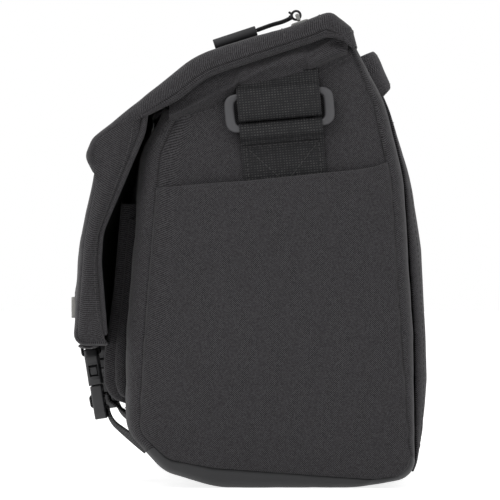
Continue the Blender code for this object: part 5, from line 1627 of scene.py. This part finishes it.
# Each lamp's name, place, watts and width in metres.
LAMPS = (
    ("key", (1.7, -1.2, 2.6), 28, 1.1),
    ("fill", (2.2, 1.4, 0.9), 6, 1.8),
    ("front", (-0.6, -2.6, 1.6), 12, 1.8),
    ("back", (-0.8, 2.6, 1.8), 11, 1.8),
)


def make_stage():
    """A pale floor, a white surround, soft lamps and the camera at the photograph's angle."""
    scene = bpy.context.scene
    world = bpy.data.worlds.new("surround")
    world.use_nodes = True
    scene.world = world
    board = Board(world.node_tree)
    white = background_rays(board)
    background = world.node_tree.nodes["Background"]
    background.inputs["Color"].default_value = (1, 1, 1, 1)
    board.tree.links.new((white * (1 - AMBIENT) + AMBIENT).socket, background.inputs["Strength"])

    floor_look = Finish("pale_floor", Roughness=0.9, Specular_IOR_Level=0.1)
    pale, paler = (0.82, 0.82, 0.82), (0.86, 0.86, 0.86)
    floor_look.set("Base Color", floor_look.blend(floor_look.grain(6), pale, paler))
    floor_look.shader.inputs["Emission Color"].default_value = (1, 1, 1, 1)
    glow = floor_look.blend(background_rays(floor_look), (0, 0, 0), FLOOR_GLOW)
    floor_look.shader.inputs["Emission Strength"].default_value = 1
    floor_look.set("Emission Color", glow)
    data = bpy.data.meshes.new("floor")
    corners = [(x * FLOOR_HALF, y * FLOOR_HALF, 0) for x, y in ((-1, -1), (1, -1), (1, 1), (-1, 1))]
    data.from_pydata(corners, [], [(0, 1, 2, 3)])
    data.materials.append(floor_look.material)
    floor = bpy.data.objects.new("floor", data)
    floor.location.z = CAD_BOX[0].z - 0.1 * MM
    scene.collection.objects.link(floor)

    for name, place, energy, wide in LAMPS:
        lamp = bpy.data.lights.new(name, "AREA")
        lamp.energy = energy
        lamp.size = wide
        source = bpy.data.objects.new(name, lamp)
        source.location = place
        aim = Vector(BAG_MIDDLE) - Vector(place)
        source.rotation_euler = aim.to_track_quat("-Z", "Y").to_euler()
        scene.collection.objects.link(source)

    camera = bpy.data.cameras.new("camera")
    camera.sensor_width = 36
    camera.lens = camera.sensor_width * CAMERA_DISTANCE / SEEN_WIDTH
    camera.clip_end = 60
    viewer = bpy.data.objects.new("camera", camera)
    viewer.location = (NEAR_END + CAMERA_DISTANCE, VIEW_Y, VIEW_Z)
    viewer.rotation_euler = (math.pi / 2, 0, math.pi / 2)
    scene.collection.objects.link(viewer)
    scene.camera = viewer
    scene.view_settings.view_transform = "Standard"


# ---------------------------------------------------------------- operators and panel
class BAG_OT_walls(bpy.types.Operator):
    """Make the front, base and back panels"""

    bl_idname = "bag.walls"
    bl_label = "Walls"
    bl_options = {"REGISTER", "UNDO"}

    def execute(self, context):
        make_walls()
        return {"FINISHED"}


class BAG_OT_ends(bpy.types.Operator):
    """Make the end panels with their top hems"""

    bl_idname = "bag.ends"
    bl_label = "End panels"
    bl_options = {"REGISTER", "UNDO"}

    def execute(self, context):
        make_ends()
        return {"FINISHED"}


class BAG_OT_collars(bpy.types.Operator):
    """Make the soft ears between the end panels and the lid"""

    bl_idname = "bag.collars"
    bl_label = "Collars"
    bl_options = {"REGISTER", "UNDO"}

    def execute(self, context):
        make_collars()
        return {"FINISHED"}


class BAG_OT_side_pockets(bpy.types.Operator):
    """Make the patch pockets on the end panels"""

    bl_idname = "bag.side_pockets"
    bl_label = "Side pockets"
    bl_options = {"REGISTER", "UNDO"}

    def execute(self, context):
        make_side_pockets()
        return {"FINISHED"}


class BAG_OT_lid(bpy.types.Operator):
    """Make the lid with its piping and stitches"""

    bl_idname = "bag.lid"
    bl_label = "Lid"
    bl_options = {"REGISTER", "UNDO"}

    def execute(self, context):
        make_lid()
        return {"FINISHED"}


class BAG_OT_hinge_seam(bpy.types.Operator):
    """Make the rolled seam that the flap turns on"""

    bl_idname = "bag.hinge_seam"
    bl_label = "Hinge seam"
    bl_options = {"REGISTER", "UNDO"}

    def execute(self, context):
        make_hinge_seam()
        return {"FINISHED"}


class BAG_OT_flap_pocket(bpy.types.Operator):
    """Make the stuffed pocket on the flap"""

    bl_idname = "bag.flap_pocket"
    bl_label = "Flap pocket"
    bl_options = {"REGISTER", "UNDO"}

    def execute(self, context):
        make_flap_pocket()
        return {"FINISHED"}


class BAG_OT_pockets(bpy.types.Operator):
    """Make the organiser and the slip pocket"""

    bl_idname = "bag.pockets"
    bl_label = "Front and back pockets"
    bl_options = {"REGISTER", "UNDO"}

    def execute(self, context):
        make_pockets()
        return {"FINISHED"}


class BAG_OT_anchors(bpy.types.Operator):
    """Make the webbing that holds the rings"""

    bl_idname = "bag.anchors"
    bl_label = "Strap anchors"
    bl_options = {"REGISTER", "UNDO"}

    def execute(self, context):
        make_anchors()
        return {"FINISHED"}


class BAG_OT_rings(bpy.types.Operator):
    """Make the moulded strap rings"""

    bl_idname = "bag.rings"
    bl_label = "Strap rings"
    bl_options = {"REGISTER", "UNDO"}

    def execute(self, context):
        make_rings()
        return {"FINISHED"}


class BAG_OT_straps(bpy.types.Operator):
    """Make the shoulder strap and its adjuster"""

    bl_idname = "bag.straps"
    bl_label = "Shoulder strap"
    bl_options = {"REGISTER", "UNDO"}

    def execute(self, context):
        make_straps()
        return {"FINISHED"}


class BAG_OT_buckles(bpy.types.Operator):
    """Make the side-release buckles with their straps"""

    bl_idname = "bag.buckles"
    bl_label = "Buckles"
    bl_options = {"REGISTER", "UNDO"}

    def execute(self, context):
        make_buckles()
        return {"FINISHED"}


class BAG_OT_zip(bpy.types.Operator):
    """Make the lid's zip with its slider and pull"""

    bl_idname = "bag.zip"
    bl_label = "Zip"
    bl_options = {"REGISTER", "UNDO"}

    def execute(self, context):
        make_zip()
        return {"FINISHED"}


class BAG_OT_handle(bpy.types.Operator):
    """Make the padded grab handle"""

    bl_idname = "bag.handle"
    bl_label = "Grab handle"
    bl_options = {"REGISTER", "UNDO"}

    def execute(self, context):
        make_handle()
        return {"FINISHED"}


class BAG_OT_label(bpy.types.Operator):
    """Make the bare woven tab"""

    bl_idname = "bag.label"
    bl_label = "Label tab"
    bl_options = {"REGISTER", "UNDO"}

    def execute(self, context):
        make_label()
        return {"FINISHED"}


class BAG_OT_inside(bpy.types.Operator):
    """Make the padded divider and the stiffener board"""

    bl_idname = "bag.inside"
    bl_label = "Inner pieces"
    bl_options = {"REGISTER", "UNDO"}

    def execute(self, context):
        make_inside()
        return {"FINISHED"}


class BAG_OT_details(bpy.types.Operator):
    """Make the bartacks at the lid's corners"""

    bl_idname = "bag.details"
    bl_label = "Bartacks"
    bl_options = {"REGISTER", "UNDO"}

    def execute(self, context):
        make_details()
        return {"FINISHED"}


class BAG_OT_stage(bpy.types.Operator):
    """Make the floor, the surround, the lamps and the camera"""

    bl_idname = "bag.stage"
    bl_label = "Stage"
    bl_options = {"REGISTER", "UNDO"}

    def execute(self, context):
        make_stage()
        return {"FINISHED"}


OPERATORS = (
    BAG_OT_walls,
    BAG_OT_ends,
    BAG_OT_collars,
    BAG_OT_side_pockets,
    BAG_OT_lid,
    BAG_OT_hinge_seam,
    BAG_OT_flap_pocket,
    BAG_OT_pockets,
    BAG_OT_anchors,
    BAG_OT_rings,
    BAG_OT_straps,
    BAG_OT_buckles,
    BAG_OT_zip,
    BAG_OT_handle,
    BAG_OT_label,
    BAG_OT_inside,
    BAG_OT_details,
    BAG_OT_stage,
)


class BAG_PT_panel(bpy.types.Panel):
    """Lists the bag's pieces and its sizes in the 3D view's sidebar."""

    bl_idname = "BAG_PT_panel"
    bl_label = "Shoulder bag"
    bl_space_type = "VIEW_3D"
    bl_region_type = "UI"
    bl_category = "Bag"

    def draw(self, context):
        for made in OPERATORS:
            self.layout.operator(made.bl_idname)
        for group in (context.scene.bag_sizes, context.scene.bag_finishes):
            for name in group.__annotations__:
                self.layout.prop(group, name)


CLASSES = (BagSizes, BagFinishes, *OPERATORS, BAG_PT_panel)


def register():
    for made in CLASSES:
        bpy.utils.register_class(made)
    bpy.types.Scene.bag_sizes = PointerProperty(type=BagSizes)
    bpy.types.Scene.bag_finishes = PointerProperty(type=BagFinishes)


def unregister():
    del bpy.types.Scene.bag_finishes
    del bpy.types.Scene.bag_sizes
    for made in reversed(CLASSES):
        bpy.utils.unregister_class(made)


def main():
    """Makes every piece and the stage."""
    register()
    for made in OPERATORS:
        getattr(bpy.ops.bag, made.bl_idname.removeprefix("bag."))()


if __name__ == "__main__":
    main()
